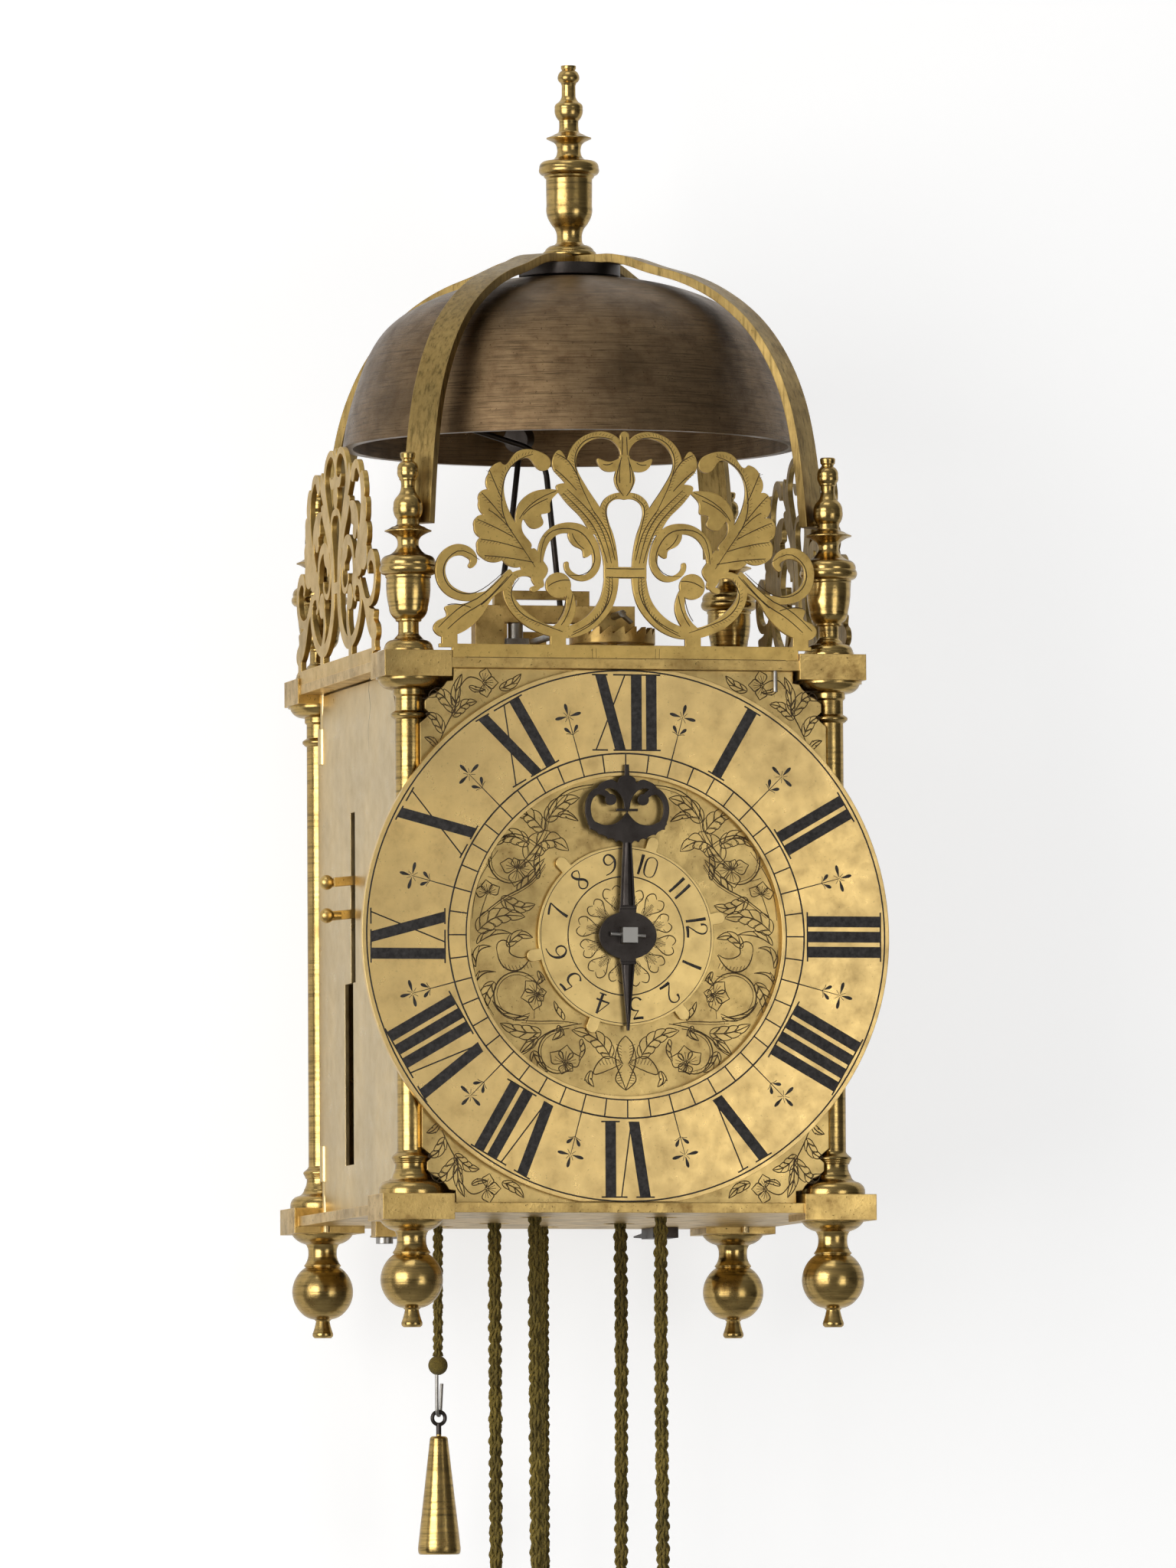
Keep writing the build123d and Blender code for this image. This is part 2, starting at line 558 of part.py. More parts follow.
def fret_half():
    """Left half of the front scrollwork: scrolls and acanthus leaves about a fleur."""
    half = band([(-5, 735), (-28, 792), (-68, 815), (-118, 813), (-168, 787), (-200, 742), (-206, 692),
                 (-186, 635), (-155, 575), (-118, 505), (-82, 435), (-62, 365), (-54, 300)],
                [11, 11, 12, 13, 15, 17, 20, 24, 31, 34, 32, 29, 27])
    half += leaf([(-262, 752), (-281, 715), (-275, 678), (-250, 650), (-170, 560), (-180, 640),
                  (-205, 690), (-222, 712)])
    half += leaf([(-230, 627), (-266, 610), (-252, 585), (-215, 540), (-160, 480), (-118, 430),
                  (-100, 465), (-165, 560)])
    half += leaf([(-12, 735), (-40, 717), (-75, 715), (-106, 724), (-98, 696), (-66, 674), (-34, 677),
                  (-10, 700)])
    half += band([(0, 578), (-30, 580), (-68, 560), (-84, 515), (-72, 455), (-58, 385), (-50, 310)],
                 [12, 12, 13, 15, 14, 13, 14])
    half += band([(-52, 290), (-58, 220), (-72, 170), (-108, 115), (-160, 72), (-235, 48), (-315, 60),
                  (-385, 98), (-435, 150), (-457, 205), (-442, 255), (-398, 277), (-352, 263), (-337, 232),
                  (-358, 214)],
                 [27, 28, 28, 27, 26, 24, 20, 20, 22, 22, 19, 16, 13, 11, 11])
    half += band([(-262, 62), (-228, 98), (-212, 145), (-218, 190), (-238, 222)], [18, 21, 20, 17, 16])
    half += Pos(-260 * FRET_X, 230 * FRET_Z) * Circle(49 * FRET_X)
    half += leaf([(-455, 288), (-505, 238), (-570, 182), (-650, 152), (-700, 136), (-692, 112), (-722, 92),
                  (-744, 56), (-726, 32), (-662, 32), (-605, 62), (-545, 130), (-490, 200), (-430, 252)])
    half += band([(-510, 205), (-560, 186), (-632, 184), (-690, 214), (-716, 270), (-704, 330), (-660, 362),
                  (-612, 356), (-588, 326), (-598, 303)], [10, 14, 16, 19, 20, 19, 20, 22, 19, 10])
    half += side_acanthus()
    half += leaf([(-417, 415), (-425, 485), (-410, 545), (-370, 585), (-315, 602), (-257, 595), (-290, 550),
                  (-293, 513), (-325, 503), (-317, 475), (-340, 450), (-375, 460), (-393, 485), (-400, 445),
                  (-365, 375), (-375, 365)])
    half += band([(-327, 232), (-334, 290), (-328, 345), (-312, 400), (-275, 440), (-215, 454), (-155, 430),
                  (-115, 365), (-115, 300), (-150, 262), (-195, 265), (-225, 293), (-228, 314)],
                 [12, 12, 13, 16, 18, 20, 24, 20, 16, 14, 12, 10, 9])
    half += leaf([(-220, 440), (-215, 405), (-190, 380), (-165, 365), (-160, 340), (-130, 355),
                  (-120, 400), (-165, 445)])
    half += leaf([(-330, 240), (-340, 300), (-372, 355), (-360, 372), (-322, 330), (-312, 260)])
    return half


def side_acanthus():
    """The large lobed leaf at the side, which runs up into the outer curl."""
    lobes = [(-335, 220), (-365, 265), (-405, 300), (-475, 325), (-556, 335), (-574, 372), (-562, 412),
             (-585, 455), (-575, 490), (-548, 500), (-566, 555), (-558, 590), (-530, 598), (-528, 660),
             (-482, 706)]
    curl = [(-482, 706), (-466, 695), (-430, 735), (-385, 757), (-330, 748), (-288, 712), (-296, 682),
            (-328, 676), (-352, 700), (-372, 722), (-412, 712), (-446, 680), (-468, 625), (-460, 545),
            (-425, 470), (-378, 400), (-345, 330), (-322, 262), (-335, 220)]
    lobes, curl = grid(lobes), grid(curl)
    edges = [ThreePointArc(start, bulged(start, end), end) for start, end in zip(lobes, lobes[1:])]
    return make_face(edges + [Spline(*curl)])


def bulged(start, end, share=0.16):
    """Middle point of a lobe between two points, to the left of the way along."""
    du, dv = end[0] - start[0], end[1] - start[1]
    return ((start[0] + end[0]) / 2 - dv * share, (start[1] + end[1]) / 2 + du * share)


def fret():
    """Fret in its own plane: u across, v up from the top of its bar."""
    left = fret_half()
    bar = FRET_BAR_HEIGHT
    whole = left + mirror(left, Plane.YZ)
    whole += smooth(grid([(0, 582), (-28, 608), (-40, 645), (-30, 690), (-12, 735), (12, 735), (30, 690),
                          (40, 645), (28, 608)]))
    whole += ribbon(grid([(0, 725), (0, 780), (0, 812)]), [12 * FRET_X, 16 * FRET_X, 18 * FRET_X])
    whole += Pos(0, 282 * FRET_Z) * Rectangle(164 * FRET_X, 44 * FRET_Z)
    whole += Pos(0, 730 * FRET_Z) * Rectangle(40 * FRET_X, 12 * FRET_Z)
    whole += Pos(0, -bar / 2) * Rectangle(2 * FRET_BAR_HALF, bar)
    for side in (-1, 1):
        for u in (262, 682):
            whole += Pos(side * u * FRET_X, 17 * FRET_Z) * Rectangle(60 * FRET_X, 50 * FRET_Z)
        whole += Pos(side * (FRET_BAR_HALF + 1.4), -0.55) * Rectangle(5.2, 1.1)
    return whole


def make_frets():
    """Three frets alike, each on two bent lugs that are screwed to the top plate."""
    upright_fret = Plane.XZ * extrude(fret(), FRET_THICK)
    panel = Pos(0, -FRET_FACE + FRET_THICK, ROOF + FRET_BAR_HEIGHT) * upright_fret
    screws = []
    for x in (-FRET_SCREW_X, FRET_SCREW_X):
        lug = block((x - 4, x + 4), (-FRET_FACE + 0.5, -FRET_SCREW_Y + 3.2), (ROOF, ROOF + 1.5))
        panel += lug - upright(FRET_SCREW_RADIUS + FIT, x, -FRET_SCREW_Y, ROOF - 1, ROOF + 3)
        screw = upright(FRET_SCREW_RADIUS, x, -FRET_SCREW_Y, ROOF - PLATE_THICK + 0.4, ROOF + 1.6)
        screws.append(screw + upright(2 * FRET_SCREW_RADIUS, x, -FRET_SCREW_Y, ROOF + 1.5, ROOF + 2.6))
    all_screws = []
    for name, turn in (("front", 0), ("left", -90), ("right", 90)):
        save(f"fret_{name}", Rot(0, 0, turn) * panel)
        all_screws += [Rot(0, 0, turn) * screw for screw in screws]
    return all_screws


# ---- Dial ------------------------------------------------------------------------------------------------

def panel_outline(half_width, height):
    """Upright panel between the plates. Each corner is hollowed round a capital, with a notch for its ring."""
    hollow = [(-2.0, 18.0), (2.3, 16.6), (NOTCH, 13.8), (3.8, 12.2), (3.8, 9.8), (5.4, 8.4), (7.6, 7.2),
              (9.6, 5.4), (10.6, 3.9), (CORNER_HOLLOW, 3.6), (CORNER_HOLLOW, -1.0), (-2.0, -1.0)]
    face = Rectangle(2 * half_width, height)
    for u in (-1, 1):
        for v in (-1, 1):
            face -= polygon([(u * (HALF - inward), v * (height / 2 - depth)) for inward, depth in hollow])
    return face


def make_dial():
    height = CASE_HEIGHT - 2 * SEAT
    face = panel_outline(DIAL_HALF_WIDTH, height)
    face -= Circle(HOUR_ARBOR_RADIUS + FIT)
    plate = Pos(0, DIAL_PLATE_FRONT + DIAL_PLATE_THICK, 0) * (Plane.XZ * extrude(face, DIAL_PLATE_THICK))
    save("dial_plate", plate)
    ring_face = Circle(RING_RADIUS) & Rectangle(3 * RING_RADIUS, 2 * RING_TRIM)
    ring_face -= Circle(RING_HOLE_RADIUS)
    save("chapter_ring", Pos(0, DIAL_PLATE_FRONT, 0) * (Plane.XZ * extrude(ring_face, RING_THICK)))
    disc_face = Circle(DISC_RADIUS)
    for angle in DISC_LUG_ANGLES:
        lug = ribbon([(0, DISC_RADIUS - 1), (0, DISC_RADIUS + DISC_LUG_REACH - 1.8)], [1.7, 1.8])
        disc_face += Rot(0, 0, -angle) * lug
    disc_face -= Circle(HOUR_ARBOR_RADIUS + FIT)
    disc_back = DIAL_PLATE_FRONT - 0.3
    save("alarm_disc", Pos(0, disc_back, 0) * (Plane.XZ * extrude(disc_face, DISC_THICK)))
    return upright(0.7, 46.8, DIAL_PLATE_FRONT - 0.7 - SEAT, 74.0, PLATE_TOP_Z)


def hand_head():
    """Left half of the pierced head of the hand, in the plane of the dial."""
    crown = [(0.2, 48.2), (-1.6, 47.9), (-2.6, 46.9), (-2.9, 46.1), (-4.3, 46.8), (-6.3, 46.6), (-8.2, 45.7),
             (-9.3, 44.0), (-9.2, 42.8), (-7.6, 43.2), (-6.4, 44.1), (-4.7, 44.2), (-3.1, 43.4), (-1.9, 42.0),
             (-1.1, 40.2), (-0.7, 38.2), (0.2, 37.0)]
    half = make_face([Spline(*crown), Line(crown[-1], crown[0])])
    half += Pos(-5.0, 40.9) * Circle(1.7)
    half += ribbon([(-8.6, 43.3), (-7.2, 43.0), (-5.6, 41.6)], [0.9, 0.9, 0.9])
    half += ribbon([(-9.2, 43.4), (-11.5, 41.0), (-12.1, 38.2), (-11.7, 35.4), (-10.4, 33.0)],
                   [0.95, 0.85, 0.85, 0.9, 1.1])
    lower = [(-12.3, 33.6), (-11.6, 31.9), (-10.2, 31.5), (-8.8, 30.3), (-7.2, 30.0), (-5.9, 29.0),
             (-4.6, 29.1), (-3.5, 28.1), (-2.4, 28.5), (-1.4, 27.7), (0.2, 27.8)]
    upper = [(0.2, 37.4), (-0.9, 36.0), (-2.1, 34.7), (-3.6, 33.7), (-5.7, 33.2), (-7.6, 33.3), (-9.6, 34.1),
             (-11.0, 34.6), (-12.3, 33.6)]
    edges = [ThreePointArc(start, bulged(start, end, 0.12), end) for start, end in zip(lower, lower[1:])]
    half += make_face(edges + [Line(lower[-1], upper[0]), Spline(*upper)])
    return half


def make_hand():
    half = hand_head()
    face = half + mirror(half, Plane.YZ)
    face += polygon([(-0.75, 47.0), (-0.6, HAND_TIP), (0.6, HAND_TIP), (0.75, 47.0)])
    face += Pos(0, 37.8) * Rectangle(6.6, 0.7)
    face += polygon([(-1.3, 29.0), (1.3, 29.0), (2.4, 7.0), (-2.4, 7.0)])
    face += Pos(0, 7.6) * Rectangle(5.2, 1.2)
    face += Ellipse(8.85, 7.2)
    face += Pos(0, -7.5) * Rectangle(4.9, 1.0)
    face += polygon([(-2.2, -7.0), (2.2, -7.0), (0.3, -HAND_TAIL), (-0.3, -HAND_TAIL)])
    back = DIAL_PLATE_FRONT - RING_THICK - 0.4
    hand = Pos(0, back, 0) * (Plane.XZ * extrude(face, HAND_THICK))
    square = SQUARE_END / 2 + SEAT
    hand -= block((-square, square), (back - 9, back + 9), (-square, square))
    save("hour_hand", hand)
    front = back - HAND_THICK
    pin = rod(0.6, (-5.6, front - 1.0, 0.4), (5.2, front - 1.0, -0.2))
    save("hand_pin", pin)
    arbor_end = front - 3.3
    arbor = along_y(HOUR_ARBOR_RADIUS, 0, 0, back + SEAT, FRONT_BAR - 0.5)
    arbor += block((-SQUARE_END / 2, SQUARE_END / 2), (arbor_end, back + 1), (-SQUARE_END / 2,
        SQUARE_END / 2))
    arbor += along_y(PIVOT_RADIUS + 0.6, 0, 0, FRONT_BAR - 1, FRONT_BAR + BAR_THICK)
    arbor -= rod(0.6 + FIT, (-5.6, front - 1.0, 0.4), (5.2, front - 1.0, -0.2))
    wheel = spur(HOUR_TEETH, HOUR_MODULE, WHEEL_THICK)
    wheel = crossed(wheel, HOUR_MODULE * HOUR_TEETH / 2 - 3.6, 6.0, WHEEL_THICK)
    arbor += facing_y(wheel, 0, 0, HOUR_WHEEL_Y)
    save("hour_wheel", arbor)


HOUR_WHEEL_Y = DIAL_PLATE_FRONT + DIAL_PLATE_THICK + 2.4

# ---- Movement --------------------------------------------------------------------------------------------

GREAT_WHEEL_Y = -50.0
STRIKE_WHEEL_Y = 34.6
CONTRATE_DISC_Y = -41.2
LOCK_WHEEL_Y = 40.8
COUNT_WHEEL_Y = 50.4


def bar(front, holes):
    """Upright movement bar with a tab through each plate."""
    back = front + BAR_THICK
    shape = block((-BAR_WIDTH / 2, BAR_WIDTH / 2), (front, back), (PLATE_BOTTOM_Z, PLATE_TOP_Z))
    tab = BAR_TAB / 2
    shape += block((-tab, tab), (front, back), (FLOOR, ROOF + 4))
    shape -= block((-9, 9), (front + 0.5, back - 0.5), (ROOF, ROOF + 2.1))
    for x, z, radius in holes:
        shape -= along_y(radius, x, z, front - 1, back + 1)
    return shape


def make_bars():
    pivot = PIVOT_RADIUS + FIT
    count_x, count_z = count_place()
    front = bar(FRONT_BAR, [(0, 0, PIVOT_RADIUS + 0.6 + FIT), (0, GREAT_AXIS, 2.0 + FIT), (0, SECOND_AXIS,
        pivot),
                            (LIFT_AXIS_X, LIFT_AXIS_Z, 1.6 + FIT)])
    low = potence_base()
    front += block((CROWN_X - 4, CROWN_X + 4), (FRONT_BAR + BAR_THICK, CROWN_Y + 3.2), (low, low + 4))
    front -= upright(0.8 + FIT, CROWN_X, CROWN_Y, low + 1, low + 5)
    save("bar_front", front)
    save("bar_middle", bar(MIDDLE_BAR, [(0, GREAT_AXIS, 2.0 + FIT), (0, SECOND_AXIS, pivot), (0, FLY_AXIS,
        pivot),
                                        (LIFT_AXIS_X, LIFT_AXIS_Z, 1.9), (LIFT_AXIS_X, LOCK_AXIS_Z, pivot),
                                        (HAMMER_X, HAMMER_Z, pivot)]))
    back = bar(BACK_BAR, [(0, GREAT_AXIS, 2.0 + FIT), (0, SECOND_AXIS, pivot), (0, FLY_AXIS, pivot),
                          (LIFT_AXIS_X, LIFT_AXIS_Z, pivot), (LIFT_AXIS_X, LOCK_AXIS_Z, pivot),
                          (HAMMER_X, HAMMER_Z, pivot)])
    verge_foot = ALARM_AXIS - ALARM_WHEEL_RADIUS - 6
    back += block((ALARM_X - 3, 0), (BACK_BAR - 2, BACK_BAR + BAR_THICK), (verge_foot, verge_foot + 3))
    back -= upright(0.9 + FIT, ALARM_X, ALARM_VERGE_Y, verge_foot + 0.8, verge_foot + 4)
    reach = block((0, count_x + 5), (BACK_BAR, BACK_BAR + BAR_THICK), (count_z - 5, count_z + 5))
    back += reach
    back += along_y(1.6, count_x, count_z, BACK_BAR + BAR_THICK - 1, COUNT_WHEEL_Y + WHEEL_THICK + 1.5)
    save("bar_back", back)
    wedges = []
    for y in (FRONT_BAR, MIDDLE_BAR, BACK_BAR):
        wedge = block((-6, 6), (y + 0.6, y + BAR_THICK - 0.6), (ROOF + 0.05, ROOF + 2))
        wedges.append(wedge)
    return wedges


def count_place():
    """Centre of the count wheel: below and to the right of the striking great wheel's arbor."""
    distance = COUNT_MODULE * (COUNT_TEETH + COUNT_PINION_LEAVES) / 2 + 0.15
    return distance * sin(radians(43)), GREAT_AXIS - distance * cos(radians(43))


def potence_base():
    return SECOND_AXIS + CONTRATE_RADIUS - 9.0


def great_wheel(wheel_y, rope_y, front, back, pins):
    """Great wheel on its arbor. The rope pulley turns on the same arbor beside it."""
    wheel = spur(GREAT_TEETH, GREAT_MODULE, WHEEL_THICK)
    wheel = crossed(wheel, GREAT_MODULE * GREAT_TEETH / 2 - 5, 8.0, WHEEL_THICK)
    body = facing_y(wheel, 0, GREAT_AXIS, wheel_y, mesh_turn(GREAT_TEETH, 90))
    body += along_y(3.0, 0, GREAT_AXIS, front, back)
    for index in range(pins):
        angle = 2 * pi * index / pins
        radius = GREAT_MODULE * GREAT_TEETH / 2 - 3.0
        x, z = radius * sin(angle), GREAT_AXIS + radius * cos(angle)
        body += along_y(0.9, x, z, wheel_y + 0.5, wheel_y + WHEEL_THICK + 2.2)
    return body


def mesh_turn(teeth, angle, between=False):
    """Turn, in degrees, that puts a tooth (or the gap between two) at an angle, counted as facing_y turns."""
    pitch = 360 / teeth
    wanted = angle % pitch
    return wanted + (pitch / 2 if between else 0)


def make_going_train():
    meet = MIDDLE_BAR + BAR_THICK / 2 - 0.15
    front, back = FRONT_BAR + BAR_THICK + 0.3, MIDDLE_BAR - 0.3
    wheel = great_wheel(GREAT_WHEEL_Y, GOING_ROPE_Y, front, back, 0)
    wheel += along_y(2.0, 0, GREAT_AXIS, HOUR_WHEEL_Y + WHEEL_THICK + 0.8, meet)
    wheel += along_y(0.85, 0, GREAT_AXIS, HOUR_WHEEL_Y - 0.8, HOUR_WHEEL_Y + WHEEL_THICK + 1)
    report = spur(HOUR_PINION_LEAVES, HOUR_MODULE, WHEEL_THICK + 1.6, 0.3)
    wheel += facing_y(report, 0, GREAT_AXIS, HOUR_WHEEL_Y - 0.8, 45)
    save("going_great_wheel", wheel)
    save("going_pulley", pulley_on_arbor(0, GREAT_AXIS, GOING_ROPE_Y, ROPE_TURN, ROPE_RADIUS, 6.0, 3.0))
    contrate = along_y(PIVOT_RADIUS, 0, SECOND_AXIS, FRONT_BAR, meet)
    contrate += along_y(2.0, 0, SECOND_AXIS, front, back)
    pinion = spur(SECOND_PINION_LEAVES, GREAT_MODULE, WHEEL_THICK + 1.4, 0.3)
    contrate += facing_y(pinion, 0, SECOND_AXIS, GREAT_WHEEL_Y - 0.7, mesh_turn(SECOND_PINION_LEAVES, 90,
        True))
    contrate += contrate_wheel()
    save("contrate_wheel", contrate)
    make_crown_wheel()


def contrate_wheel():
    """Wheel with its teeth standing towards the front."""
    rim, tooth_width, tooth_height = CONTRATE_RADIUS, 2.0, 3.4
    disc = Cylinder(rim + tooth_width / 2, 1.8, align=(Align.CENTER, Align.CENTER, Align.MIN))
    disc = crossed(disc, rim - 4.5, 5.0, 1.8)
    wheel = facing_y(disc, 0, SECOND_AXIS, CONTRATE_DISC_Y)
    collar_width = 1.4
    collar = Circle(rim + tooth_width / 2) - Circle(rim - tooth_width / 2)
    collar = extrude(collar, collar_width)
    wheel += facing_y(collar, 0, SECOND_AXIS, CONTRATE_DISC_Y - collar_width + 0.01)
    pitch = 360 / CONTRATE_TEETH
    tooth = polygon([(-0.42, 0), (0.42, 0), (0.25, tooth_height), (-0.25, tooth_height)])
    solid = extrude(Plane.YZ * tooth, tooth_width)
    for index in range(CONTRATE_TEETH):
        place = Rot(0, pitch * (index + 0.5), 0) * Pos(rim - tooth_width / 2, 0, 0) * Rot(90, 0, 0) * solid
        wheel += Pos(0, CONTRATE_DISC_Y, SECOND_AXIS) * place
    return wheel


def make_crown_wheel():
    low = potence_base()
    base = CROWN_TOP - 4.8
    arbor = upright(1.5, CROWN_X, CROWN_Y, low + 4.3, base + 1)
    arbor += upright(0.8, CROWN_X, CROWN_Y, low + 1.2, low + 5)
    arbor += upright(0.8, CROWN_X, CROWN_Y, base, CROWN_TOP + 1.0)
    module = 2 * CONTRATE_RADIUS / CONTRATE_TEETH
    pinion = spur(CROWN_PINION_LEAVES, module, 5.0, 0.26)
    leaf_turn = 18.5       # puts a leaf midway between two teeth of the contrate wheel
    arbor += Pos(CROWN_X, CROWN_Y, SECOND_AXIS + CONTRATE_RADIUS - 2.6) * Rot(0, 0, leaf_turn) * pinion
    rim = Cylinder(CROWN_RADIUS, 4.8, align=(Align.CENTER, Align.CENTER, Align.MIN))
    rim -= Pos(0, 0, 1.2) * Cylinder(CROWN_RADIUS - 1.6, 9, align=(Align.CENTER, Align.CENTER, Align.MIN))
    web = extrude(Circle(CROWN_RADIUS - 2.6) - Circle(3.4), 3)
    for turn in (0, 60, 120):
        web -= Rot(0, 0, turn) * Box(2 * CROWN_RADIUS, 2.6, 9)
    rim -= Pos(0, 0, -1) * web
    pitch = 2 * pi * CROWN_RADIUS / CROWN_TEETH
    notch = polygon([(0.12, 2.4), (pitch - 0.2, 5.2), (0.12, 5.2)])
    cutter = extrude(Plane.YZ * notch, 6)
    for index in range(CROWN_TEETH):
        rim -= Rot(0, 0, 360 / CROWN_TEETH * index) * Pos(CROWN_RADIUS - 3, 0, 0) * cutter
    save("crown_wheel", arbor + Pos(CROWN_X, CROWN_Y, base) * rim)


def pulley_on_arbor(x, z, rope_y, turn, rope_radius, half_width, arbor_radius):
    body = pulley(turn, rope_radius, half_width) - Cylinder(arbor_radius + FIT, 4 * half_width)
    return facing_y(body, x, z, rope_y)


def make_strike_train():
    front, back = MIDDLE_BAR + BAR_THICK + 0.3, BACK_BAR - 0.3
    bar_back_face = BACK_BAR + BAR_THICK
    meet = MIDDLE_BAR + BAR_THICK / 2 + 0.15
    wheel = great_wheel(STRIKE_WHEEL_Y, STRIKE_ROPE_Y, front, back, 13)
    wheel += along_y(2.0, 0, GREAT_AXIS, meet, COUNT_WHEEL_Y + WHEEL_THICK + 0.6)
    pinion = spur(COUNT_PINION_LEAVES, COUNT_MODULE, WHEEL_THICK + 1.0, 0.3)
    wheel += facing_y(pinion, 0, GREAT_AXIS, COUNT_WHEEL_Y - 0.5, mesh_turn(COUNT_PINION_LEAVES, 47, True))
    save("strike_great_wheel", wheel)
    save("strike_pulley", pulley_on_arbor(0, GREAT_AXIS, STRIKE_ROPE_Y, ROPE_TURN, ROPE_RADIUS, 6.0, 3.0))
    lock = along_y(2.0, 0, SECOND_AXIS, front, back)
    lock += along_y(PIVOT_RADIUS, 0, SECOND_AXIS, meet, bar_back_face)
    leaves = spur(SECOND_PINION_LEAVES, GREAT_MODULE, WHEEL_THICK + 1.4, 0.3)
    lock += facing_y(leaves, 0, SECOND_AXIS, STRIKE_WHEEL_Y - 0.7, mesh_turn(SECOND_PINION_LEAVES, 90, True))
    disc = crossed(spur(LOCK_TEETH, LOCK_MODULE, WHEEL_THICK), LOCK_MODULE * LOCK_TEETH / 2 - 3.4, 5.0,
                   WHEEL_THICK)
    lock += facing_y(disc, 0, SECOND_AXIS, LOCK_WHEEL_Y, mesh_turn(LOCK_TEETH, 90))
    save("locking_wheel", lock)
    fly = along_y(1.6, 0, FLY_AXIS, front, back)
    fly += along_y(PIVOT_RADIUS, 0, FLY_AXIS, MIDDLE_BAR, bar_back_face)
    fly_leaves = spur(FLY_LEAVES, LOCK_MODULE, WHEEL_THICK + 1.0, 0.3)
    fly += facing_y(fly_leaves, 0, FLY_AXIS, LOCK_WHEEL_Y - 0.5, mesh_turn(FLY_LEAVES, 90, True))
    fly += block((-10.5, 10.5), (front + 4, front + 28), (FLY_AXIS - 0.5, FLY_AXIS + 0.5))
    save("fly", fly)
    count_x, count_z = count_place()
    count = spur(COUNT_TEETH, COUNT_MODULE, WHEEL_THICK)
    count = crossed(count, COUNT_MODULE * COUNT_TEETH / 2 - 4, 5.0, WHEEL_THICK)
    count -= Cylinder(1.6 + FIT, 20)
    save("count_wheel", facing_y(count, count_x, count_z, COUNT_WHEEL_Y, mesh_turn(COUNT_TEETH, 227)))


def make_alarm():
    """Alarm crown wheel and its pulley in one, turning on a post of the back plate."""
    front = ALARM_Y - 3.6
    grooved = pulley(ALARM_ROPE_TURN, ALARM_ROPE_RADIUS, 3.6)
    wheel = facing_y(grooved, ALARM_X, ALARM_AXIS, ALARM_Y)
    rim = extrude(Circle(ALARM_WHEEL_RADIUS) - Circle(ALARM_WHEEL_RADIUS - 1.6), 2.7)
    pitch = 2 * pi * ALARM_WHEEL_RADIUS / ALARM_WHEEL_TEETH
    notch = extrude(Plane.YZ * polygon([(0.15, -1), (pitch - 0.2, -1), (0.15, 1.9)]), 6)
    for index in range(ALARM_WHEEL_TEETH):
        rim -= Rot(0, 0, 360 / ALARM_WHEEL_TEETH * index) * Pos(ALARM_WHEEL_RADIUS - 3, 0, 0) * notch
    wheel += facing_y(rim, ALARM_X, ALARM_AXIS, front - 2.6)
    wheel -= along_y(ALARM_POST_RADIUS + FIT, ALARM_X, ALARM_AXIS, front - 9, ALARM_Y + 9)
    save("alarm_wheel", wheel)


# ---- Works above the top plate ---------------------------------------------------------------------------

def make_cocks():
    """Brass cock over the crown wheel, and the small one that carries the verge at the back."""
    left, right = -41.0, 8.4
    front, back = CROWN_Y - 3.0, CROWN_Y + 3.0
    cock = block((left, right), (front, back), (VERGE_Z - 2.2, VERGE_Z + 3.0))
    cock += block((left, left + 9), (front, back), (ROOF, VERGE_Z))
    cock += block((CROWN_X - 5.3, right), (front, back), (CROWN_TOP - 1.0, VERGE_Z))
    cock -= along_y(VERGE_RADIUS + FIT, CROWN_X, VERGE_Z, front - 1, back + 1)
    cock -= upright(0.8 + FIT, CROWN_X, CROWN_Y, CROWN_TOP - 2, CROWN_TOP + 1.2)
    save("top_cock", cock)
    rear = block((CROWN_X - 5, CROWN_X + 5), (BACK_COCK_Y - 2, BACK_COCK_Y + 2), (ROOF, VERGE_Z + 3.5))
    rear += block((CROWN_X - 5, CROWN_X + 5), (BACK_COCK_Y - 10, BACK_COCK_Y), (ROOF, ROOF + 2))
    rear -= along_y(VERGE_RADIUS + FIT, CROWN_X, VERGE_Z, BACK_COCK_Y - 3, BACK_COCK_Y + 3)
    save("back_cock", rear)
    bridge_top = ROOF + BRIDGE_LIFT
    bridge = block((-17, 13), (32, 35), (bridge_top - 2.7, bridge_top))
    bridge += block((-17, -13), (32, 35), (ROOF, bridge_top - 1))
    bridge += block((9, 13), (32, 35), (ROOF, bridge_top - 1))
    save("hammer_bridge", bridge)
    stud = upright(STUD_RADIUS, STUD_X, CROWN_Y, ROOF - PLATE_THICK + 0.5, VERGE_Z - 2.3)
    nut = Pos(STUD_X, CROWN_Y, ROOF) * extrude(Rectangle(7, 7) - Circle(STUD_RADIUS + FIT), 7.6)
    return [stud, nut]


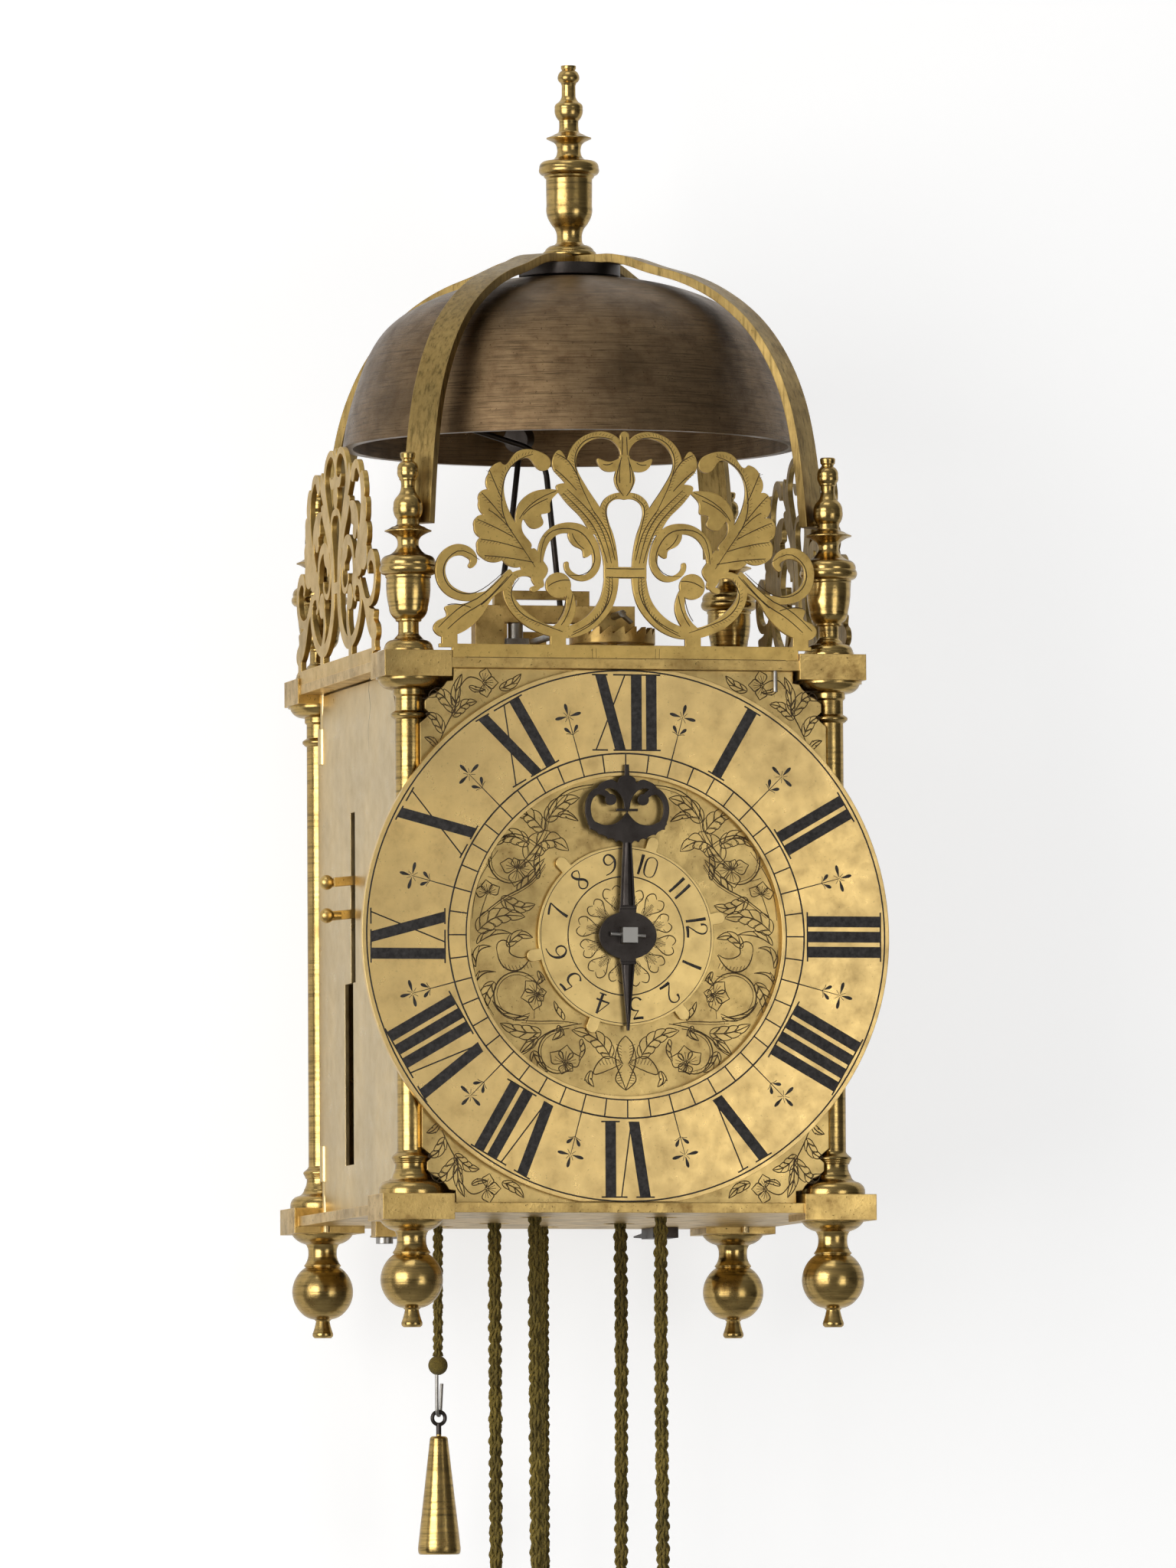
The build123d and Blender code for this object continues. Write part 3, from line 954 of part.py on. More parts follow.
def make_verge():
    """Verge with its two pallets and the pendulum rod that hangs from its back end."""
    reach = CROWN_RADIUS - 0.8
    verge = along_y(VERGE_RADIUS, CROWN_X, VERGE_Z, CROWN_Y - reach - 2.0, PENDULUM_Y + 1.6)
    for side in (-1, 1):
        y = CROWN_Y + side * reach
        pallet = Pos(0, 0, -PALLET_LENGTH / 2) * Box(0.9, 3.0, PALLET_LENGTH)
        verge += Pos(CROWN_X, y, VERGE_Z) * Rot(0, side * PALLET_SPREAD, 0) * pallet
    bottom = VERGE_Z - PENDULUM_LENGTH
    verge += upright(0.9, CROWN_X, PENDULUM_Y, bottom - 10, VERGE_Z)
    verge += Pos(CROWN_X, PENDULUM_Y, VERGE_Z) * Sphere(1.9)
    save("verge", verge)
    bob = Pos(CROWN_X, PENDULUM_Y, bottom) * turning([
        (2.2, -11, 0), (5.0, -9, 0.6), (BOB_RADIUS, -1.5, 1.0), (BOB_RADIUS, 1.5, 0.1), (5.0, 9, 1.0),
        (2.6, 10, 0), (2.6, 12, 0)])
    save("pendulum_bob", bob - upright(0.9 + FIT, CROWN_X, PENDULUM_Y, bottom - 20, bottom + 20))


def wire(radius, points, bends):
    """Round bar along a polyline whose corners are rounded by the given radii."""
    path = FilletPolyline(*points, radius=bends)
    plane = Plane(origin=points[0], z_dir=Vector(*points[1]) - Vector(*points[0]))
    return sweep(plane * Circle(radius), path=path)


def make_hammers():
    y = HAMMER_ROD_Y
    hammer = along_y(1.5, HAMMER_X, HAMMER_Z, MIDDLE_BAR + BAR_THICK + 0.3, BACK_BAR - 0.3)
    hammer += along_y(PIVOT_RADIUS, HAMMER_X, HAMMER_Z, MIDDLE_BAR, BACK_BAR + BAR_THICK)
    head_z = BELL_BOTTOM + 11
    rod_points = [(HAMMER_X, y, HAMMER_Z), (HAMMER_X, y, ROOF + 20.65), (0.9, y, head_z - 9),
                  (-22, y, head_z - 2), (-37, y, head_z)]
    hammer += wire(HAMMER_ROD_RADIUS, rod_points, [12, 12, 12])
    hammer += rod(HAMMER_HEAD_RADIUS, (-35.5, y, head_z - 0.2), (-43.0, y, head_z + 0.8))
    tail = [(HAMMER_X - 1.2, HAMMER_Z), (HAMMER_X + 1.2, HAMMER_Z), (15.2, 4), (12.8, 4)]
    hammer += Pos(0, y - 0.5, 0) * extrude(Plane.XZ * polygon(tail), 1.8)
    save("strike_hammer", hammer)
    foot = ALARM_AXIS - ALARM_WHEEL_RADIUS - 6
    alarm = upright(ALARM_VERGE_RADIUS, ALARM_X, ALARM_VERGE_Y, foot + 3.2, ROOF + 12.65)
    alarm += upright(0.9, ALARM_X, ALARM_VERGE_Y, foot + 1, foot + 4)
    for side in (-1, 1):
        z = ALARM_AXIS + side * (ALARM_WHEEL_RADIUS - 0.8)
        pallet = Pos(ALARM_PALLET / 2, 0, 0) * Box(ALARM_PALLET, 0.9, 3.0)
        alarm += Pos(ALARM_X, ALARM_VERGE_Y, z) * Rot(0, 0, 90 + side * PALLET_SPREAD) * pallet
    head_z = BELL_BOTTOM + 7
    rod_points = [(ALARM_X, ALARM_VERGE_Y, ROOF + 6.65), (ALARM_X, ALARM_VERGE_Y, VERGE_Z),
                  (-7.0, 51.5, head_z - 25), (-3.6, 54.0, head_z)]
    alarm += wire(ALARM_ROD_RADIUS, rod_points, [8, 8])
    alarm += rod(HAMMER_HEAD_RADIUS, (-5.4, 52.7, head_z), (-2.2, 57.4, head_z + 1))
    save("alarm_hammer", alarm)


# ---- Levers ----------------------------------------------------------------------------------------------

def lever_arm(axis_z, knob_z, y):
    """Flat arm in an upright plane from an arbor out through the slot of the left door."""
    bend_x = -52.0
    points = [(LIFT_AXIS_X + 1.0, axis_z), (bend_x, knob_z + 2.0), (KNOB_X + 2, knob_z)]
    upper = [(x, z + 1.4) for x, z in points]
    lower = [(x, z - 1.4) for x, z in reversed(points)]
    return Pos(0, y + LEVER_THICK / 2, 0) * extrude(Plane.XZ * polygon(upper + lower), LEVER_THICK)


def make_levers():
    front_y = KNOB_Y - LEVER_SIDE
    lift = along_y(1.6, LIFT_AXIS_X, LIFT_AXIS_Z, HOUR_WHEEL_Y - 1.0, BACK_BAR - 0.3)
    lift += along_y(PIVOT_RADIUS, LIFT_AXIS_X, LIFT_AXIS_Z, BACK_BAR - 1, BACK_BAR + BAR_THICK)
    lift += lever_arm(LIFT_AXIS_Z, UPPER_KNOB_Z, front_y)
    lift += block((LIFT_AXIS_X - 1.5, LIFT_AXIS_X + 1.5), (HOUR_WHEEL_Y - 0.5, HOUR_WHEEL_Y + 1.5),
                  (30, LIFT_AXIS_Z))
    lift += Pos(KNOB_X, KNOB_Y, UPPER_KNOB_Z) * Rot(0, 90, 0) * Sphere(KNOB_RADIUS)
    lift += rod(1.1, (KNOB_X, KNOB_Y, UPPER_KNOB_Z), (KNOB_X + 4.5, KNOB_Y - 0.6, UPPER_KNOB_Z))
    save("lifting_lever", lift)
    lock = along_y(1.6, LIFT_AXIS_X, LOCK_AXIS_Z, MIDDLE_BAR + BAR_THICK + 0.3, BACK_BAR - 0.3)
    lock += along_y(PIVOT_RADIUS, LIFT_AXIS_X, LOCK_AXIS_Z, MIDDLE_BAR, BACK_BAR + BAR_THICK)
    lock += lever_arm(LOCK_AXIS_Z, LOWER_KNOB_Z, KNOB_Y + LEVER_SIDE)
    lock += Pos(KNOB_X, KNOB_Y, LOWER_KNOB_Z) * Rot(0, 90, 0) * Sphere(KNOB_RADIUS)
    lock += rod(1.1, (KNOB_X, KNOB_Y, LOWER_KNOB_Z), (KNOB_X + 4.5, KNOB_Y + 0.6, LOWER_KNOB_Z))
    save("locking_lever", lock)


# ---- Doors, back plate and wall fittings -----------------------------------------------------------------

def door(side, slots):
    height = CASE_HEIGHT - 2 * DOOR_GAP
    face = Rectangle(2 * DOOR_HALF, height)
    for y in (-HALF, HALF):
        for z in (-1, 1):
            face -= Pos(y, z * (height / 2 + DOOR_GAP)) * Circle(DOOR_CORNER_RADIUS)
    if slots:
        face -= Pos(SLOT_Y, (SLOT_TOP + SLOT_MIDDLE) / 2) * Rectangle(SLOT_WIDTH, SLOT_TOP - SLOT_MIDDLE)
        face -= Pos(LOW_SLOT_Y, (SLOT_MIDDLE + SLOT_BOTTOM) / 2) * Rectangle(LOW_SLOT_WIDTH,
            SLOT_MIDDLE - SLOT_BOTTOM)
    x = side * DOOR_PLANE
    panel = Pos(x - DOOR_THICK / 2, 0, 0) * extrude(Plane.YZ * face, DOOR_THICK)
    hinge_end = height / 2 - 10.0
    for up in (-1, 1):
        panel += upright(HINGE_RADIUS + 0.8, x, HINGE_Y, min(up * hinge_end, up * (hinge_end - 11)),
                         max(up * hinge_end, up * (hinge_end - 11)))
        ends = sorted((up * (hinge_end - 1), up * (PLATE_TOP_Z + PLATE_THICK + 1.8)))
        panel += upright(HINGE_RADIUS, x, HINGE_Y, ends[0], ends[1])
    return panel


def make_doors():
    save("door_left", door(-1, True))
    save("door_right", door(1, False))


def make_back():
    height = CASE_HEIGHT - 2 * SEAT
    face = panel_outline(BACK_HALF_WIDTH, height)
    plate = Pos(0, BACK_FRONT + BACK_THICK, 0) * (Plane.XZ * extrude(face, BACK_THICK))
    plate += along_y(ALARM_POST_RADIUS, ALARM_X, ALARM_AXIS, ALARM_Y - 6.0, BACK_FRONT + 0.5)
    plate += along_y(4.0, ALARM_X, ALARM_AXIS, ALARM_Y + 3.9, BACK_FRONT + 0.5)
    save("back_plate", plate)


def make_wall_fittings():
    """Iron hoop riveted on the top plate, and two spurs that keep the clock off the wall."""
    low, high = ROOF, ROOF + HOOP_HEIGHT
    start = BACK_COCK_Y - 8.0
    outer = [(-HOOP_HALF, start, 0), (-HOOP_HALF, WALL_Y - HOOP_HALF, 0),
             (HOOP_HALF, WALL_Y - HOOP_HALF, -HOOP_HALF), (HOOP_HALF, start, 0)]
    inner_half = HOOP_HALF - HOOP_BAR
    inner = [(-inner_half, start - 1, 0), (-inner_half, WALL_Y - HOOP_HALF, 0),
             (inner_half, WALL_Y - HOOP_HALF, -inner_half), (inner_half, start - 1, 0)]
    hoop = Pos(0, 0, low) * extrude(outline(outer) - outline(inner), high - low)
    for side in (-1, 1):
        foot = side * (HOOP_HALF - HOOP_BAR / 2)
        hoop += block((foot - 5, foot + 5), (start - 5, start + 5), (low, low + 2))
    step = (TOP_PLATE_HALF + HOOP_STEP_GAP, WALL_Y + 1)
    hoop -= block((-HOOP_HALF - 1, HOOP_HALF + 1), step, (low - 1, low + HOOP_STEP))
    save("hanging_hoop", hoop)
    spurs = []
    for side in (-1, 1):
        x = side * 42.0
        spike = Pos(x, BOTTOM_PLATE_HALF - 9, FLOOR - 1.6) * Box(8, 16, 3.2)
        base = Plane(origin=(x, BOTTOM_PLATE_HALF - 2, FLOOR - 1.6), z_dir=(0, 1, 0))
        cone = Solid.make_cone(1.6, 0.3, WALL_Y - BOTTOM_PLATE_HALF + 2, base)
        spurs.append(spike + cone)
    save("wall_spurs", *spurs)


def make_button():
    """Small brass block under the bottom plate with an iron button in it."""
    x, y = -63.0, -17.0
    base = block((x - 3.4, x + 3.4), (y - 3.4, y + 3.4), (FLOOR - 5.6, FLOOR))
    base -= upright(1.2, x, y, FLOOR - 7, FLOOR - 2)
    button = upright(1.1, x, y, FLOOR - 6.0, FLOOR - 2.2) + upright(2.6, x, y, FLOOR - 7.6, FLOOR - 5.7)
    save("button_block", base)
    return button


# ---- Ropes -----------------------------------------------------------------------------------------------

def cord(radius, points, arcs=None):
    """Round rope along straight runs, or along a half turn and a straight run."""
    if arcs is None:
        return rod(radius, points[0], points[1])
    start, top, end, bottom = points
    path = Wire([ThreePointArc(start, top, end), Line(end, bottom)])
    return sweep(Plane(origin=start, z_dir=(0, 0, 1)) * Circle(radius), path=path)


def rope_pair(name, radius, x, y, axis, turn, light_side, ends):
    """Two ropes of a train: one over the pulley and down, the other straight down from its start."""
    start = (x + light_side * turn, y, axis)
    far = (x - light_side * turn, y, axis)
    over = cord(radius, [start, (x, y, axis + turn), far, (far[0], y, ends[0])], True)
    down = cord(radius, [(start[0], y, axis - 0.2), (start[0], y, ends[1])])
    save(f"{name}_rope_over", over)
    save(f"{name}_rope_down", down)


def hook():
    """Iron cap at a rope's end, with an open hook under it; its top is at the origin."""
    bend_radius = 4.3
    shape = upright(2.7, 0, 0, -3.5, -0.05) + upright(0.9, 0, 0, -6.5, -3)
    return shape + bend(0, -6.5 - bend_radius, bend_radius, -170, 260, 0.9)


def make_ropes():
    rope_pair("going", ROPE_RADIUS, 0, GOING_ROPE_Y, GREAT_AXIS, ROPE_TURN, 1, (ROPE_END, ROPE_END))
    rope_pair("strike", ROPE_RADIUS, 0, STRIKE_ROPE_Y, GREAT_AXIS, ROPE_TURN, 1, (ROPE_END, ROPE_END))
    left_end = KNOT_HEIGHT + KNOT_RADIUS - 0.2
    rope_pair("alarm", ALARM_ROPE_RADIUS, ALARM_X, ALARM_Y, ALARM_AXIS, ALARM_ROPE_TURN, 1,
              (left_end, ROPE_END))
    ends = [(side * ROPE_TURN, y) for y in (GOING_ROPE_Y, STRIKE_ROPE_Y) for side in (-1, 1)]
    ends.append((ALARM_X + ALARM_ROPE_TURN, ALARM_Y))
    save("rope_hooks", *[Pos(x, y, ROPE_END) * hook() for x, y in ends])
    x = ALARM_X - ALARM_ROPE_TURN
    top = KNOT_HEIGHT - KNOT_RADIUS + 1.4
    knot = Pos(x, ALARM_Y, KNOT_HEIGHT) * Sphere(KNOT_RADIUS)
    knot -= upright(ALARM_ROPE_RADIUS + 0.1, x, ALARM_Y, left_end - 0.1, KNOT_HEIGHT + 9)
    save("alarm_knot", knot - Pos(x - 0.4, ALARM_Y, top) * hook_wire(HOOK_WIRE + SEAT))
    save("alarm_hook", Pos(x - 0.4, ALARM_Y, top) * hook_wire(HOOK_WIRE))
    make_alarm_weight(x - 0.4, top)


def bend(x, z, radius, start, turn, wire_radius):
    """Part of a wire ring in the XZ plane, from a start angle, counter-clockwise from the front."""
    ring = Torus(radius, wire_radius, major_angle=turn, align=None)
    return Pos(x, 0, z) * Rot(90, 0, 0) * Rot(0, 0, start) * ring


def hook_wire(wire):
    """Wire hook, from its upper loop to its open lower bend, turned about its shank."""
    small, free = 1.5, 2 * HOOK_BEND
    shape = bend(small, 0, small, 20, 160, wire) + upright(wire, 0, 0, -HOOK_DROP, 0)
    shape += bend(HOOK_BEND, -HOOK_DROP, HOOK_BEND, 180, 180, wire)
    shape += rod(wire, (free, 0, -HOOK_DROP - 0.05), (free + 1.4, 0, -HOOK_DROP + 8.0))
    return Rot(0, 0, HOOK_TURN) * shape


def make_alarm_weight(x_shank, top):
    """The eye that hangs in the hook's bend, and the tall cone below it."""
    x = x_shank + HOOK_BEND * cos(radians(HOOK_TURN))
    y = ALARM_Y + HOOK_BEND * sin(radians(HOOK_TURN))
    seat = top - HOOK_DROP - HOOK_BEND + HOOK_WIRE + FIT
    eye_z = seat + EYE_WIRE - EYE_RADIUS
    eye = Pos(x, y, 0) * bend(0, eye_z, EYE_RADIUS, 0, 360, EYE_WIRE)
    cone_top = eye_z - EYE_RADIUS - 3.6
    weight = Pos(x, y, cone_top - WEIGHT_LENGTH) * turning([
        (WEIGHT_RADIUS - 0.7, 0, 0), (WEIGHT_RADIUS - 0.1, 0.8, 0.15), (WEIGHT_RADIUS, 2.0, 0.04),
        (2.8, WEIGHT_LENGTH - 1.0, 0), (2.1, WEIGHT_LENGTH, 0.2)])
    weight += upright(0.8, x, y, cone_top - 0.5, eye_z - EYE_RADIUS + 0.2)
    save("alarm_weight", weight + eye)


# ---- Whole clock -----------------------------------------------------------------------------------------

make_plates()
make_pillars()
make_feet()
make_finials()
fixings = [make_bell()]
make_straps()
fixings += make_frets()
fixings.append(make_dial())
make_hand()
fixings += make_bars()
make_going_train()
make_strike_train()
make_alarm()
fixings += make_cocks()
make_verge()
make_hammers()
make_levers()
make_doors()
make_back()
make_wall_fittings()
fixings.append(make_button())
save("screws_and_pins", *fixings)
make_ropes()
print(f"cord radii in mm: going and strike {ROPE_RADIUS}, alarm {ALARM_ROPE_RADIUS}")
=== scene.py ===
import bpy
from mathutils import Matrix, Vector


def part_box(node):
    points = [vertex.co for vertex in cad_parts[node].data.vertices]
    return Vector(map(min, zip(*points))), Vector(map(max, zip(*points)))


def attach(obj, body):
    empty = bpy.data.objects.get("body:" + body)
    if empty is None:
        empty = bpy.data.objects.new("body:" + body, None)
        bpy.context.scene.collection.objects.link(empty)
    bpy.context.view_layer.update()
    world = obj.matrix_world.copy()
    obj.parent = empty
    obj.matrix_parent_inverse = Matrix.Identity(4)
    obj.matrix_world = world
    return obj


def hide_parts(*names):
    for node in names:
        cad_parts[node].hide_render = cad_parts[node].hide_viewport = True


bl_info = {
    "name": "Lantern Clock",
    "version": (1, 0, 0),
    "blender": (4, 5, 0),
    "location": "View3D > Sidebar > Lantern Clock",
    "description": "Dresses the brass lantern clock: finishes, engraving, cords and the studio round it",
    "category": "Add Mesh",
}

import math

import bmesh
import bpy
from bpy.props import FloatProperty, FloatVectorProperty, IntProperty, PointerProperty
from mathutils import Matrix, Vector

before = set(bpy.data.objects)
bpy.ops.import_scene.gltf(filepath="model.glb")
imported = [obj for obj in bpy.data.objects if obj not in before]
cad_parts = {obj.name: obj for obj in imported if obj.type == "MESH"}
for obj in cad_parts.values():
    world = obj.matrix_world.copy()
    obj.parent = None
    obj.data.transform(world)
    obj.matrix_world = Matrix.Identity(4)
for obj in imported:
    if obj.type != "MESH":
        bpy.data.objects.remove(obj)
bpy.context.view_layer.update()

MM = 0.001
HOOK = Vector((0, 99.4, 83.85))      # the origin, where the hoop hangs, in mm from the middle of the case
DIAL_FACE = -70.2                    # the front faces, in mm from the middle of the case
RING_FACE = -72.5
DISC_FACE = -71.7
FRET_FACE = -73.6
WALL = 101.0                         # where the wall stands behind it


def place(x, y, z):
    """A point in mm from the middle of the case, as a point of the frame in metres."""
    return (Vector((x, y, z)) - HOOK) * MM


def on_clock(angle, radius):
    """Point at an angle in degrees, clockwise from the top of the dial, in mm."""
    a = math.radians(angle)
    return (radius * math.sin(a), radius * math.cos(a))


def turned(angle):
    """A function from a place across and outwards, at an angle that on_clock takes, to the point there."""
    a = math.radians(angle)
    across, up = Vector((math.cos(a), -math.sin(a))), Vector((math.sin(a), math.cos(a)))
    return lambda u, v: across * u + up * v


# ---- Settings ----

def length(name, default, description):
    return FloatProperty(name=name, description=description, default=default * MM, unit="LENGTH", precision=5)


def colour(name, default, description):
    return FloatVectorProperty(name=name, description=description, default=default, size=3, min=0, max=1,
                               subtype="COLOR")


class ClockSizes(bpy.types.PropertyGroup):
    numeral_top: length("Numeral top", 78.6, "Radius at the outer end of the hour numerals")
    numeral_foot: length("Numeral foot", 55.9, "Radius at the inner end of the hour numerals")
    stroke: length("Stroke", 3.3, "Width of a numeral's thick stroke")
    rim_line: length("Rim line", 79.9, "Radius of the line near the ring's edge")
    track_outer: length("Track outer line", 54.9, "Radius of the outer line of the quarter hour track")
    track_inner: length("Track inner line", 49.4, "Radius of the inner line of the quarter hour track")
    line: length("Engraved line", 0.46, "Width of an engraved line on the ring")
    leaf_line: length("Leaf line", 0.4, "Width of a line in the engraved leaves")
    quarters: IntProperty(name="Quarter hours", description="Divisions of the track", default=48, min=12)
    cord: length("Cord", 4.4, "Diameter of the cords that carry the weights")
    alarm_cord: length("Alarm cord", 3.3, "Diameter of the alarm cord")
    plait: length("Plait", 13.8, "Length of cord in which a strand goes once round")


class ClockColours(bpy.types.PropertyGroup):
    brass: colour("Brass", (0.66, 0.46, 0.165), "Turned and cast brass")
    dial_brass: colour("Dial brass", (0.76, 0.555, 0.225), "Engraved sheet brass")
    bell: colour("Bell metal", (0.23, 0.153, 0.082), "Dark bell metal")
    iron: colour("Iron", (0.06, 0.052, 0.048), "Dark iron")
    steel: colour("Steel", (0.36, 0.35, 0.33), "Worn steel")
    wax: colour("Wax", (0.022, 0.02, 0.019), "Black wax in the engraving")
    # The fine-cut colour also paints the shade in the seam under the front fret
    cut: colour("Fine cuts", (0.04, 0.026, 0.012), "Dirt in the fine engraving")
    rope: colour("Cord", (0.15, 0.112, 0.02), "Olive green cord")
    wall: colour("Wall", (0.45, 0.45, 0.45), "Paint of the wall and the floor, which also glow")


# ---- Finishes ----

def node(tree, kind, inputs=None, **settings):
    """A shader node, with its settings, and its inputs linked to sockets or set to plain values."""
    made = tree.nodes.new("ShaderNode" + kind)
    for key, value in settings.items():
        setattr(made, key, value)
    feed(tree, made, inputs or {})
    return made


def feed(tree, made, inputs):
    for key, value in inputs.items():
        if isinstance(value, bpy.types.NodeSocket):
            tree.links.new(value, made.inputs[key])
        else:
            made.inputs[key].default_value = value


def solid(value):
    """A plain colour with its fourth number; a socket stays as it is."""
    return (*value, 1) if isinstance(value, tuple) else value


def ramp(tree, factor, stops):
    made = node(tree, "ValToRGB", {"Fac": factor})
    elements = made.color_ramp.elements
    while len(elements) < len(stops):
        elements.new(0.5)
    for element, (position, value) in zip(elements, stops):
        element.position = position
        element.color = solid(value if isinstance(value, tuple) else (value,) * 3)
    return made.outputs["Color"]


def noise(tree, vector, scale, detail=4.0, roughness=0.55):
    return node(tree, "TexNoise", {"Vector": vector, "Scale": scale, "Detail": detail, "Roughness": roughness}
                ).outputs["Fac"]


def maths(tree, operation, *values):
    return node(tree, "Math", dict(enumerate(values)), operation=operation).outputs[0]


def mapped(tree, value, low, high, to_low=0.0, to_high=1.0):
    return node(tree, "MapRange", {"Value": value, "From Min": low, "From Max": high, "To Min": to_low,
                                   "To Max": to_high}).outputs[0]


def stretched(tree, vector, scale, **turn):
    return node(tree, "Mapping", {"Vector": vector, "Scale": scale, **turn}).outputs[0]


def bumped(tree, height, strength, distance, **under):
    return node(tree, "Bump", {"Height": height, "Strength": strength, "Distance": distance, **under}).outputs[0]


def blend_colour(tree, factor, a, b, mode="MIX"):
    return node(tree, "Mix", {0: factor, 6: solid(a), 7: solid(b)}, data_type="RGBA", blend_type=mode).outputs[2]


def shaded(tree, share, first, second):
    return node(tree, "MixShader", {0: share, 1: first, 2: second}).outputs[0]


def start_finish(name):
    finish = bpy.data.materials.new(name)
    finish.use_nodes = True
    tree = finish.node_tree
    return tree, tree.nodes["Principled BSDF"], node(tree, "TexCoord").outputs["Object"]


def shade(colour, share):
    """A colour times one number, or times a number for each of red, green and blue."""
    shares = share if isinstance(share, tuple) else (share,) * 3
    return tuple(min(1.0, c * s) for c, s in zip(colour, shares))


def metal(name, base, rough=0.3, grain=(1, 1, 1), grain_depth=0.15, dark=0.35, spots=0.5, streak=None, edge=0.5,
          wavy=0.22):
    """Old metal: broad tarnish, dark spots, scratches along the grain, and edges rubbed bright."""
    tree, shader, where = start_finish(name)
    broad = noise(tree, where, 38, 5, 0.6)
    cloud = noise(tree, where, 150, 7, 0.65)
    speck = noise(tree, where, 1100, 3, 0.6)
    light = shade(base, (1.16, 1.1484, 1.102))
    coloured = ramp(tree, broad, [(0.28, shade(base, 1 - dark)), (0.47, base), (0.7, light)])
    tarnish = ramp(tree, cloud, [(0.3, 1.0), (0.44, 0.3), (0.58, 0.0)])
    brown = shade(base, (0.5, 0.43, 0.38))
    coloured = blend_colour(tree, maths(tree, "MULTIPLY", tarnish, spots), coloured, brown)
    dots = ramp(tree, speck, [(0.29, 1.0), (0.36, 0.0)])
    coloured = blend_colour(tree, maths(tree, "MULTIPLY", dots, spots), coloured, shade(base, 0.22))
    if streak:
        drawn = noise(tree, stretched(tree, where, streak), 26, 5, 0.7)
        lines = ramp(tree, drawn, [(0.34, 1.0), (0.48, 0.28), (0.62, 0.0)])
        coloured = blend_colour(tree, lines, coloured, shade(base, 0.4))
    rounded = node(tree, "Bevel", {"Radius": 0.35 * MM}, samples=4).outputs[0]
    true_normal = node(tree, "NewGeometry").outputs["Normal"]
    turned_by = node(tree, "VectorMath", {0: rounded, 1: true_normal}, operation="DOT_PRODUCT").outputs["Value"]
    rubbed = mapped(tree, turned_by, 0.97, 0.85, 0.0, edge)
    scratch = noise(tree, stretched(tree, where, grain), 1500, 3, 0.6)
    soft = bumped(tree, broad, wavy, 0.8 * MM, Normal=rounded)
    pits = bumped(tree, speck, spots * 0.35, 0.1 * MM, Normal=soft)
    feed(tree, shader, {
        "Base Color": blend_colour(tree, rubbed, coloured, shade(base, 1.45)),
        "Roughness": mapped(tree, cloud, 0.3, 0.7, rough + 0.12, rough - 0.05),
        "Normal": bumped(tree, scratch, grain_depth, 0.06 * MM, Normal=pits),
        "Metallic": 1.0,
    })


def two_metals(name, first_name, second_base, axis, height, soft):
    """A finish that turns from one metal into another along an axis of the frame."""
    finish = bpy.data.materials[first_name].copy()
    finish.name = name
    tree = finish.node_tree
    first = next(n for n in tree.nodes if n.type == "BSDF_PRINCIPLED")
    out = next(n for n in tree.nodes if n.type == "OUTPUT_MATERIAL")
    second = node(tree, "BsdfPrincipled", {"Base Color": solid(second_base), "Metallic": 1.0, "Roughness": 0.35})
    split = node(tree, "SeparateXYZ", {0: node(tree, "TexCoord").outputs["Object"]}).outputs[axis]
    share = mapped(tree, split, height, height + soft)
    feed(tree, out, {"Surface": shaded(tree, share, first.outputs[0], second.outputs[0])})


def wax_finish(name, base):
    tree, shader, where = start_finish(name)
    cloud = noise(tree, where, 700, 4, 0.6)
    feed(tree, shader, {
        "Base Color": ramp(tree, cloud, [(0.35, base), (0.75, shade(base, 2.6))]),
        "Normal": bumped(tree, cloud, 0.4, 0.1 * MM),
        "Roughness": 0.6,
        "Specular IOR Level": 0.2,
    })


def cord_finish(name, base):
    tree, shader, where = start_finish(name)
    broad = noise(tree, where, 60, 3)
    fibre = noise(tree, stretched(tree, where, (1, 1, 0.35), Rotation=(0, 0.6, 0)), 5200, 3, 0.7)
    tone = ramp(tree, broad, [(0.3, shade(base, 0.75)), (0.7, shade(base, 1.35))])
    worn = ramp(tree, fibre, [(0.35, (0.4, 0.4, 0.36)), (0.65, (1.7, 1.6, 1.3))])
    feed(tree, shader, {
        "Base Color": blend_colour(tree, 1.0, tone, worn, "MULTIPLY"),
        "Normal": bumped(tree, fibre, 0.8, 0.2 * MM),
        "Roughness": 0.85,
        "Sheen Weight": 0.05,
    })


EYE_HEIGHT = 7.9 * MM        # the iron eye on top of the alarm weight, above its brass
STEEL_END = 0.2 * MM         # the length at the front of the hour arbor that is seen as steel


